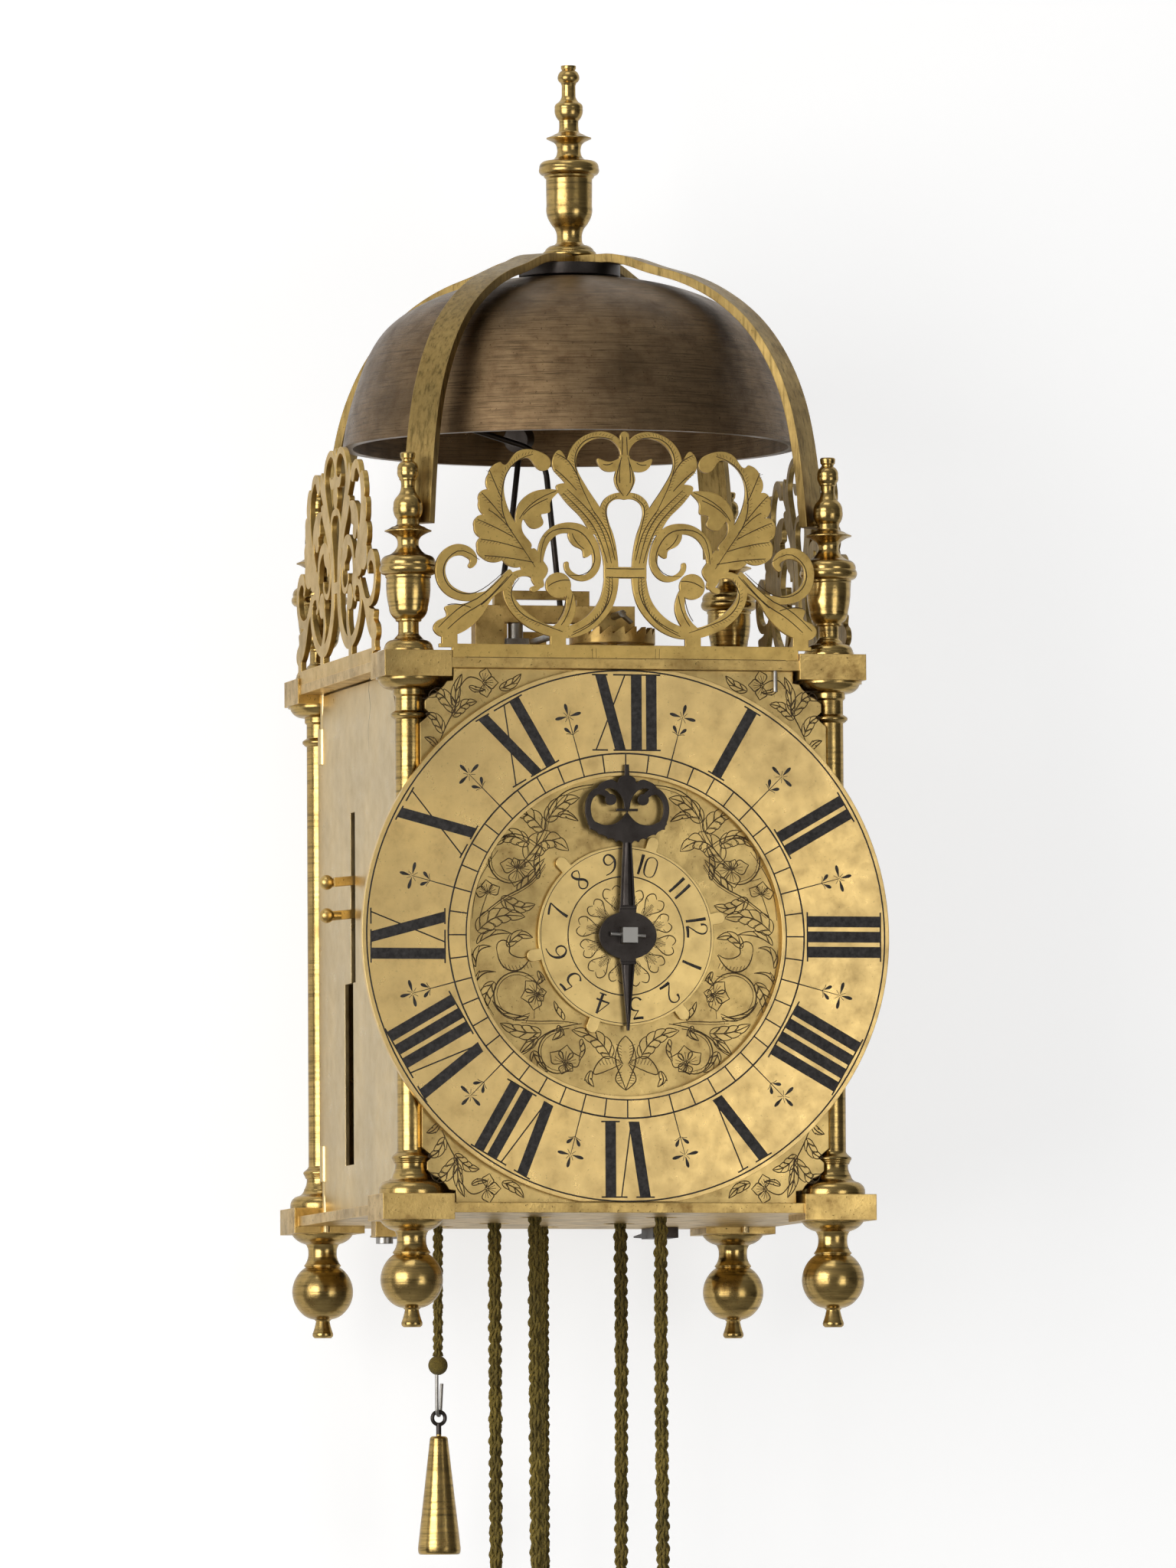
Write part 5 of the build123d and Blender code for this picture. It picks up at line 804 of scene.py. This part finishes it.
class CLOCK_OT_dial(bpy.types.Operator):
    """Engrave the leaves and flowers in the middle of the dial and in its corners"""
    bl_idname = "clock.dial"
    bl_label = "Dial"

    def execute(self, context):
        work = Engraving("dial_leaves", settings()[0].leaf_line / MM, mirror=True)
        self.upper(work)
        self.sides(work)
        self.lower(work)
        self.corners(work)
        work.piece(DIAL_FACE, "case", "fine_cut_and_seam_shade")
        return {"FINISHED"}

    def upper(self, work):
        work.stroke([(-9.5, 45.6), (-16, 45), (-21.5, 41), (-24.2, 36), (-24.8, 31.5)])
        work.stroke([(-10, 44.8), (-16.5, 43.8), (-21, 39.8), (-23.4, 35), (-24, 31)], 0.6)
        work.leaves([
            ((-24, 34.5), (-20, 41.5), (-13.8, 41.6), 2.3, 4), ((-24.8, 31.5), (-29, 38), (-33.5, 36.6), 2.4, 4),
            ((-30.5, 23), (-24.5, 33.5), (-17.2, 25.6), 3, 5),
        ])
        work.stroke([(-24.8, 31.5), (-27.2, 27), (-30, 23.4), (-32.8, 20.6)])
        work.stroke([(-24, 31), (-26, 26.5), (-29.4, 22.4), (-32.4, 20)], 0.7)
        work.scroll((-34.4, 22.2), 9.4, 62, -290, 1.1, 0.34)
        work.scroll((-34.4, 22.2), 8.5, 62, -250, 0.6, 0.3)
        for turn in (0, -30, -60, -90, -120):
            x, y = on_clock(turn, 9)
            u, v = on_clock(turn - 26, 6.6)
            work.stroke([(-34.4 + x, 22.2 + y), (-34.4 + u * 1.05, 22.2 + v * 1.05), (-34.4 + u, 22.2 + v)], 0.55)
        work.flower((-33, 20.2), 190, 5.6, 3, 95)
        work.flower((-33, 20.2), 10, 3.4, 2, 60)
        work.leaf((-20.5, 36.5), (-17, 37.5), (-14.2, 34.6), 1.2, 2, hatch=False)

    def sides(self, work):
        for shift, weight in ((0, 1), (0.8, 0.6)):
            work.stroke([(-44.6 + shift, 5.6), (-38.5, 11.0 - shift), (-32, 14.0 - shift), (-27.2, 17.2 - shift),
                         (-24.4, 21.6 - shift)], weight)
        work.leaf((-33, 13.4), (-28, 16.4), (-24.6, 23.2), 1.8, 4, sides=(1,))
        work.stroke([(-44.8, 5.2), (-43.6, 9.2), (-42.4, 12.4)], 0.8)
        work.flower((-42.2, 12.6), -8, 4.2, 3, 70)
        work.leaves([
            ((-45.4, 1.2), (-40.5, 8), (-30.8, 5.6), 2.6, 5), ((-45.6, -2.6), (-41.5, 1.2), (-35, 0.6), 1.8, 3, 1),
        ])
        work.stroke([(-39.4, -5.2), (-40, -2.6), (-37.4, -1), (-35.2, -2.8), (-36, -5.2), (-33.6, -6.6),
                     (-30.6, -6.8), (-28.8, -5.4)])
        work.stroke([(-39.4, -5.2), (-38.8, -8.8), (-34.6, -11.2), (-30.6, -9.4), (-28.6, -5.6)], 1.2)
        for step in range(9):
            x = -38.2 + step * 1.1
            work.stroke([(x, -8.2 - 0.9 * math.sin(step * 0.42)), (x + 0.7, -9.8 - 0.7 * math.sin(step * 0.42))], 0.5)
        work.leaves([
            ((-46, -9.5), (-46.4, -3), (-41.2, -3.4), 1.6, 3, 1),
            ((-46.4, -15), (-44.6, -10.2), (-39.8, -11), 1.5, 2, 1), ((-29.5, 27.5), (-36, 33), (-41, 26.8), 2.2, 4),
            ((-27, 17), (-29.8, 22.6), (-25.4, 27.6), 1.7, 4, -1), ((-38, 11.4), (-33, 6.6), (-27.6, 9.4), 1.9, 4),
            ((-36.4, -3.2), (-33, 2.4), (-28.4, -0.6), 1.6, 3), ((-40.4, -14), (-45, -18.6), (-42.8, -24.4), 1.8, 4),
            ((-26.8, -10.6), (-24, -14.4), (-27.4, -14.8), 1, 2),
        ])
        work.stroke([(-47, 5), (-46.6, 12), (-43.6, 19.6), (-39, 25.6)], 0.6)
        work.stroke([(-47.2, -4), (-46.8, -11), (-44, -18.6), (-40.6, -24)], 0.6)

    def lower(self, work):
        work.scroll((-33.6, -18.4), 8.2, 80, -300, 1.1, 0.24)
        work.scroll((-33.6, -18.4), 7.3, 60, -200, 0.6, 0.2)
        for turn in range(200, 340, 20):
            x, y = on_clock(-turn, 8.4)
            u, v = on_clock(-turn - 16, 6.8)
            work.stroke([(-33.6 + x, -18.4 + y), (-33.6 + u, -18.4 + v)], 0.5)
        work.flower((-27.2, -17.4), 255, 5.2, 3, 62)
        work.flower((-27.2, -17.4), 110, 3, 2, 60)
        work.stroke([(-34, -25.2), (-28, -26), (-20, -25.4), (-14.6, -26.4)], 0.8)
        work.stroke([(-32, -26.2), (-26, -26.8), (-19, -26.2)], 0.5)
        work.leaf((-19, -25.4), (-22.4, -22.6), (-22, -19.6), 1.5, 3, sides=(-1,))
        work.stroke([(-13.4, -26.4), (-19, -27), (-26, -30), (-29.4, -34.4), (-32.6, -35.4)])
        work.leaves([
            ((-26, -29.2), (-33, -30), (-38.6, -26.4), 2, 4), ((-27.2, -30.6), (-30, -33), (-33.2, -36.4), 1.5, 2),
        ])
        work.scroll((-20.2, -35.6), 8, 20, -250, 1.1, 0.3)
        work.scroll((-20.2, -35.6), 7.1, 10, -200, 0.6, 0.28)
        work.flower((-18.8, -38.4), 8, 5.6, 3, 62)
        work.flower((-18.8, -38.4), 165, 3.4, 2, 64)
        work.leaf((-4.6, -36.6), (-7.4, -29.2), (-16.6, -28.4), 2.3, 5)
        work.stroke([(-2.6, -33.6), (-3.6, -37), (-2.2, -40.6), (0, -46.2)])
        work.stroke([(0, -30), (-2.4, -32), (-2.6, -35.6), (-0.8, -38.6)])
        for step in range(7):
            work.stroke([(-2.9 + 0.1 * step, -32.6 - step * 0.9), (-1.2, -33.2 - step * 0.9)], 0.5)
        work.stroke([(-1.2, -38.2), (-5.2, -35.2), (-8.8, -38), (-10.6, -42), (-7, -41.2), (-1.4, -38.6)])
        for step in range(6):
            work.stroke([(-8.4 + step, -37.6 + 0.3 * step), (-7.6 + step, -38.9 + 0.1 * step)], 0.5)
        work.stroke([(-1, -38.8), (-3.8, -42.4), (-2.2, -45), (0, -46.4)])
        for step in range(5):
            work.stroke([(-2.9 + 0.1 * step, -41.2 - step * 0.8), (-1.2, -41.0 - step * 0.8)], 0.5)
        work.leaf((-10.8, -40.6), (-13, -44.2), (-9.8, -45.4), 1.2, 2, hatch=False)
        work.leaves([
            ((-30, -24.4), (-37.4, -24.4), (-41, -19.6), 1.5, 3, 1),
            ((-28.6, -34.8), (-27.8, -38.6), (-24, -41), 1.6, 3),
            ((-13.4, -31), (-11, -34.6), (-14.4, -37.6), 1.5, 3, -1),
            ((-20.4, -27), (-18.6, -30.4), (-22.6, -31.4), 1.3, 2),
        ])

    def corners(self, work):
        for v in (-1, 1):
            def at(x, y):
                return (x, v * y)

            work.stroke([at(-56.6, 58.6), at(-54.4, 63.8), at(-51.8, 68), at(-50.4, 74.6)])
            work.leaves([
                (at(-52.2, 67), at(-56.6, 76), at(-60.2, 71.4), 1.9, 4),
                (at(-51.8, 68.6), at(-52.6, 74), at(-49.8, 78.6), 1.4, 3),
                (at(-52.6, 65.8), at(-49.6, 70.6), at(-45.2, 70.2), 1.6, 4),
                (at(-55.8, 60.8), at(-57.2, 66.4), at(-61, 66.6), 1.6, 3),
            ])
            work.leaf(at(-57.4, 56.6), at(-59.4, 59.6), at(-61.4, 59.4), 1.1, 2, hatch=False)
            work.stroke([at(-50.4, 74.6), at(-48.6, 77.8), at(-45.4, 77.6), at(-43.4, 76.2)])
            work.flower(at(-43.2, 76), 90, 4.6, 3, 76)
            work.leaf(at(-47.6, 74.8), at(-45.4, 73.2), at(-42.6, 73.8), 0.9, 2, hatch=False)
            work.leaf(at(-38.2, 74.2), at(-33.4, 75.4), at(-31.6, 78.8), 1.4, 3)


class CLOCK_OT_fret(bpy.types.Operator):
    """Engrave the veins of the front fret, and paint the shade of its seam with the plate as a dark line"""
    bl_idname = "clock.fret"
    bl_label = "Front fret"

    # Half of the veins, in steps of the fret's drawing from its middle and the top of its bar, then mirrored.
    VEINS = [
        [(-245, 50), (-325, 78), (-402, 112), (-442, 166), (-445, 222), (-412, 256)],
        [(-205, 48), (-126, 84), (-70, 150), (-47, 224), (-52, 266)],
        [(-212, 36), (-140, 68), (-86, 128), (-62, 200), (-62, 262)],
        [(-54, 318), (-70, 398), (-104, 478), (-164, 548), (-225, 604)],
        [(-70, 320), (-88, 388), (-124, 466), (-180, 532), (-240, 588)],
        [(-40, 330), (-54, 398), (-84, 470), (-130, 530)],
        [(-116, 506), (-164, 598), (-192, 680), (-196, 738), (-164, 792), (-106, 814), (-46, 800)],
        [(-175, 640), (-206, 700), (-232, 726), (-266, 742)],
        [(-188, 600), (-230, 650), (-270, 680)],
        [(-40, 366), (-60, 446), (-78, 516), (-70, 556), (-30, 578)],
        [(-350, 300), (-408, 390), (-466, 470), (-484, 560), (-464, 668), (-404, 726), (-356, 738)],
        [(-475, 556), (-506, 626), (-526, 676)], [(-470, 486), (-516, 546), (-556, 586)],
        [(-435, 416), (-506, 456), (-572, 482)], [(-396, 368), (-476, 396), (-560, 406)],
        [(-356, 318), (-456, 338), (-546, 342)], [(-440, 440), (-490, 500), (-530, 520)],
        [(-410, 486), (-376, 556), (-268, 596)], [(-396, 500), (-366, 540), (-300, 566)],
        [(-330, 318), (-326, 396), (-286, 446), (-214, 454), (-160, 434), (-118, 366), (-120, 306), (-166, 264),
         (-216, 270)],
        [(-206, 432), (-196, 396), (-160, 372)], [(-300, 226), (-262, 256), (-216, 250)],
        [(-205, 196), (-216, 120), (-250, 76)], [(-230, 190), (-236, 130), (-262, 96)],
        [(-566, 326), (-625, 374), (-690, 336), (-712, 276), (-684, 212), (-608, 184), (-526, 226), (-466, 286)],
        [(-474, 266), (-556, 178), (-646, 148), (-726, 62)], [(-456, 262), (-536, 164), (-626, 118), (-690, 56)],
        [(-440, 272), (-516, 186), (-560, 150)], [(-600, 140), (-650, 160), (-690, 150)],
        [(-84, 702), (-66, 696), (-46, 708)], [(-12, 730), (-36, 660), (-30, 610), (-6, 580)],
        [(-16, 720), (-24, 664), (-20, 630)], [(-8, 810), (-9, 770), (-10, 740)],
        [(-74, 298), (-36, 296), (0, 297)], [(-74, 264), (-36, 262), (0, 263)],
    ]
    HATCHED = 16                 # so many of them, from the first, have fine cuts beside them
    # What one step of the drawing measures across and up, in mm, and how high the fret's bar is.
    ACROSS, UP = 0.0795, 0.0777
    BAR = 4.1

    def execute(self, context):
        work = Engraving("fret_veins_and_seam_shade", settings()[0].leaf_line / MM * 0.85, mirror=True)
        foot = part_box("fret_front")[0].z / MM + HOOK.z
        base = foot + self.BAR
        veins = [[(u * self.ACROSS, base + v * self.UP) for u, v in vein] for vein in self.VEINS]
        for vein in veins:
            work.stroke(vein)
        for vein in veins[:self.HATCHED]:
            self.hatch(work, vein)
        for x in (-9.2, -10.4):
            work.stroke([(x, base - 1.0), (x + 0.1, base - 3.9)], 0.4)
        # A dark line along the fret's foot, where it sits on the plate: painted shade in the seam
        work.stroke([(-49.5, foot), (0.0, foot)], taper=False)
        work.piece(FRET_FACE, "case", "fine_cut_and_seam_shade")
        return {"FINISHED"}

    def hatch(self, work, line):
        """Short fine cuts that lean away from a vein, along its middle."""
        spacing = 0.9
        for a, b in zip(line[1:], line[2:]):
            a, b = Vector(a), Vector(b)
            along = (b - a).normalized()
            out = Vector((-along.y, along.x))
            count = int((b - a).length / spacing)
            for step in range(count):
                spot = a.lerp(b, (step + 0.5) / count) + out * 0.25
                work.stroke([spot, spot + out * 0.75 + along * 0.55], 0.42)


class CLOCK_OT_hand_relief(bpy.types.Operator):
    """Chisel the collars and the ridges of the blade into the hand"""
    bl_idname = "clock.hand_relief"
    bl_label = "Hand"

    # Ridges: from, to, half the width at the far end and at the near one. Collars: height, half the width, thickness.
    RIDGES = ((9.0, 28.0, 0.9, 1.7), (-8.6, -27.5, 0.12, 1.6))
    RISE_NEAR, RISE_FAR = 0.55, 0.35
    COLLARS = ((8.4, 2.6, 0.9), (-8.3, 2.4, 0.8))

    def execute(self, context):
        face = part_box("hour_hand")[0].y / MM + HOOK.y
        ridge = bmesh.new()
        for near, far, narrow, wide in self.RIDGES:
            corners = [(-wide, near, 0), (wide, near, 0), (narrow, far, 0), (-narrow, far, 0),
                       (0, near, self.RISE_NEAR), (0, far, self.RISE_FAR)]
            made = [ridge.verts.new(place(x, face - rise, z)) for x, z, rise in corners]
            for order in ((0, 4, 5, 3), (4, 1, 2, 5), (0, 1, 4), (3, 5, 2), (0, 3, 2, 1)):
                ridge.faces.new([made[index] for index in order])
        bmesh.ops.recalc_face_normals(ridge, faces=ridge.faces)
        for z, half, high in self.COLLARS:
            add_block(ridge, (0, face - 0.2, z), (2 * half, 0.9, high), 0.15)
        piece_from(mesh_from(ridge, "hand_relief"), "hand_relief", "hour_hand", "old_iron")
        return {"FINISHED"}


class CLOCK_OT_small_parts(bpy.types.Operator):
    """Add the small brass block on the top plate and the crack of the left door"""
    bl_idname = "clock.small_parts"
    bl_label = "Small parts"

    # The crack: its place across the door and down it, as shares, and half its width in mm.
    CRACK = [(0.3, 0.0, 0.35), (0.3, 0.02, 0.3), (0.31, 0.05, 0.22), (0.29, 0.08, 0.16), (0.32, 0.12, 0.1),
             (0.31, 0.16, 0.03)]

    def execute(self, context):
        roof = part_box("fret_front")[0].z / MM + HOOK.z
        block = bmesh.new()
        add_block(block, (16.5, -23, roof + 4.0), (7, 6, 8.2), 0.4)
        piece_from(mesh_from(block, "small_block"), "small_block", "case", "cast_brass")
        low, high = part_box("door_left")
        crack = bmesh.new()
        sides = [[], []]
        for along, down_by, half in self.CRACK:
            y, z = low.y + (high.y - low.y) * along, high.z - (high.z - low.z) * down_by
            for index, side in enumerate((-1, 1)):
                sides[index].append(crack.verts.new((low.x - 0.05 * MM, y + side * half * MM, z)))
        for corners in zip(sides[0], sides[1], sides[1][1:], sides[0][1:]):
            crack.faces.new(corners)
        piece_from(mesh_from(crack, "door_crack"), "door_crack", "door_left", "fine_cut_and_seam_shade")
        return {"FINISHED"}


class CLOCK_OT_stage(bpy.types.Operator):
    """Set up the wall, the floor and the lamps"""
    bl_idname = "clock.stage"
    bl_label = "Stage"

    WALL_SIZE, FLOOR_SIZE, FLOOR = 6, 12, -1400
    # Each lamp: its place and its size in metres, its power in watts, and its colour.
    LAMPS = {
        "key": ((-1.32, -1.2, -0.02), (1.25, 1.15), 21, (1.0, 0.99, 0.97)),
        "front": ((0.645, -1.62, -0.28), (0.62, 0.8), 3.5, (1.0, 0.99, 0.97)),
        "top": ((-0.5, -1.0, 1.9), (1.2, 0.8), 5, (1.0, 1.0, 1.0)),
    }

    def execute(self, context):
        scene = context.scene
        scene.view_settings.view_transform = "Standard"
        self.world(scene)
        paint = tuple(settings()[1].wall)
        self.plane("wall", place(0, WALL + 0.15, 0), (math.radians(90), 0, 0), self.WALL_SIZE,
                   self.wall_finish("wall", paint, 0.7, 0.42))
        self.plane("floor", place(0, 0, self.FLOOR), (0, 0, 0), self.FLOOR_SIZE,
                   self.wall_finish("floor", paint, 0.78, 0.0))
        for name, lamp in self.LAMPS.items():
            self.lamp(name, *lamp)
        return {"FINISHED"}

    def world(self, scene):
        """A room lighter above than below and to the left than to the right; the camera sees it plain white."""
        world = bpy.data.worlds.new("studio")
        scene.world = world
        world.use_nodes = True
        tree = world.node_tree
        split = node(tree, "SeparateXYZ", {0: node(tree, "TexCoord").outputs["Generated"]})
        height = mapped(tree, split.outputs["Z"], -1.0, 1.0)
        room = ramp(tree, height, [(0.0, (0.1, 0.085, 0.07)), (0.42, (0.12, 0.11, 0.1)),
                                   (0.55, (0.24, 0.235, 0.23)), (1.0, (0.42, 0.42, 0.42))])
        across = mapped(tree, split.outputs["X"], -1.0, 1.0, 1.45, 0.34)
        room = node(tree, "VectorMath", {0: room, "Scale": across}, operation="SCALE").outputs[0]
        seen = blend_colour(tree, node(tree, "LightPath").outputs["Is Camera Ray"], room, (1, 1, 1))
        feed(tree, tree.nodes["Background"], {"Color": seen})

    def wall_finish(self, name, paint, seen_glow, mirrored_glow):
        """Paint that keeps shadows, with a glow of its own for the camera and for reflections."""
        finish = bpy.data.materials.new(name)
        finish.use_nodes = True
        tree = finish.node_tree
        tree.nodes.remove(tree.nodes["Principled BSDF"])
        ray = node(tree, "LightPath").outputs
        mirrored = maths(tree, "MAXIMUM", ray["Is Glossy Ray"], ray["Is Transmission Ray"])
        mirrored = maths(tree, "MULTIPLY", mirrored, mirrored_glow)
        glow = maths(tree, "MULTIPLY_ADD", ray["Is Camera Ray"], seen_glow, mirrored)
        surface = node(tree, "BsdfDiffuse", {"Color": solid(paint)}).outputs[0]
        light = node(tree, "Emission", {"Strength": glow}).outputs[0]
        both = node(tree, "AddShader", {0: surface, 1: light}).outputs[0]
        behind = node(tree, "NewGeometry").outputs["Backfacing"]
        clear = node(tree, "BsdfTransparent").outputs[0]
        feed(tree, tree.nodes["Material Output"], {"Surface": shaded(tree, behind, both, clear)})
        return finish

    def plane(self, name, middle, turn, size, finish):
        shape = bmesh.new()
        bmesh.ops.create_grid(shape, x_segments=1, y_segments=1, size=size / 2)
        mesh = mesh_from(shape, name)
        mesh.materials.append(finish)
        plane = bpy.data.objects.new(name, mesh)
        plane.location, plane.rotation_euler = middle, turn
        bpy.context.scene.collection.objects.link(plane)

    def lamp(self, name, spot, size, power, tint):
        data = bpy.data.lights.new(name, "AREA")
        data.shape = "RECTANGLE"
        data.size, data.size_y = size
        data.energy = power
        data.color = tint
        lamp = bpy.data.objects.new(name, data)
        lamp.location = spot
        aim = place(0, 0, 30) - Vector(spot)
        lamp.rotation_euler = aim.to_track_quat("-Z", "Y").to_euler()
        bpy.context.scene.collection.objects.link(lamp)


OPERATORS = [CLOCK_OT_camera, CLOCK_OT_finishes, CLOCK_OT_cords, CLOCK_OT_chapter_ring, CLOCK_OT_alarm_disc,
             CLOCK_OT_dial, CLOCK_OT_fret, CLOCK_OT_hand_relief, CLOCK_OT_small_parts, CLOCK_OT_stage]


class CLOCK_PT_panel(bpy.types.Panel):
    """Lists what dresses the clock"""
    bl_label = "Lantern Clock"
    bl_idname = "CLOCK_PT_panel"
    bl_space_type = "VIEW_3D"
    bl_region_type = "UI"
    bl_category = "Lantern Clock"

    def draw(self, context):
        for group in (context.scene.clock_sizes, context.scene.clock_colours):
            for name in group.__annotations__:
                self.layout.prop(group, name)
        for operator in OPERATORS:
            self.layout.operator(operator.bl_idname)


CLASSES = [ClockSizes, ClockColours, *OPERATORS, CLOCK_PT_panel]


def register():
    for made in CLASSES:
        bpy.utils.register_class(made)
    bpy.types.Scene.clock_sizes = PointerProperty(type=ClockSizes)
    bpy.types.Scene.clock_colours = PointerProperty(type=ClockColours)


def unregister():
    del bpy.types.Scene.clock_colours
    del bpy.types.Scene.clock_sizes
    for made in reversed(CLASSES):
        bpy.utils.unregister_class(made)


def main():
    register()
    for operator in OPERATORS:
        group, name = operator.bl_idname.split(".")
        getattr(getattr(bpy.ops, group), name)()


if __name__ == "__main__":
    main()
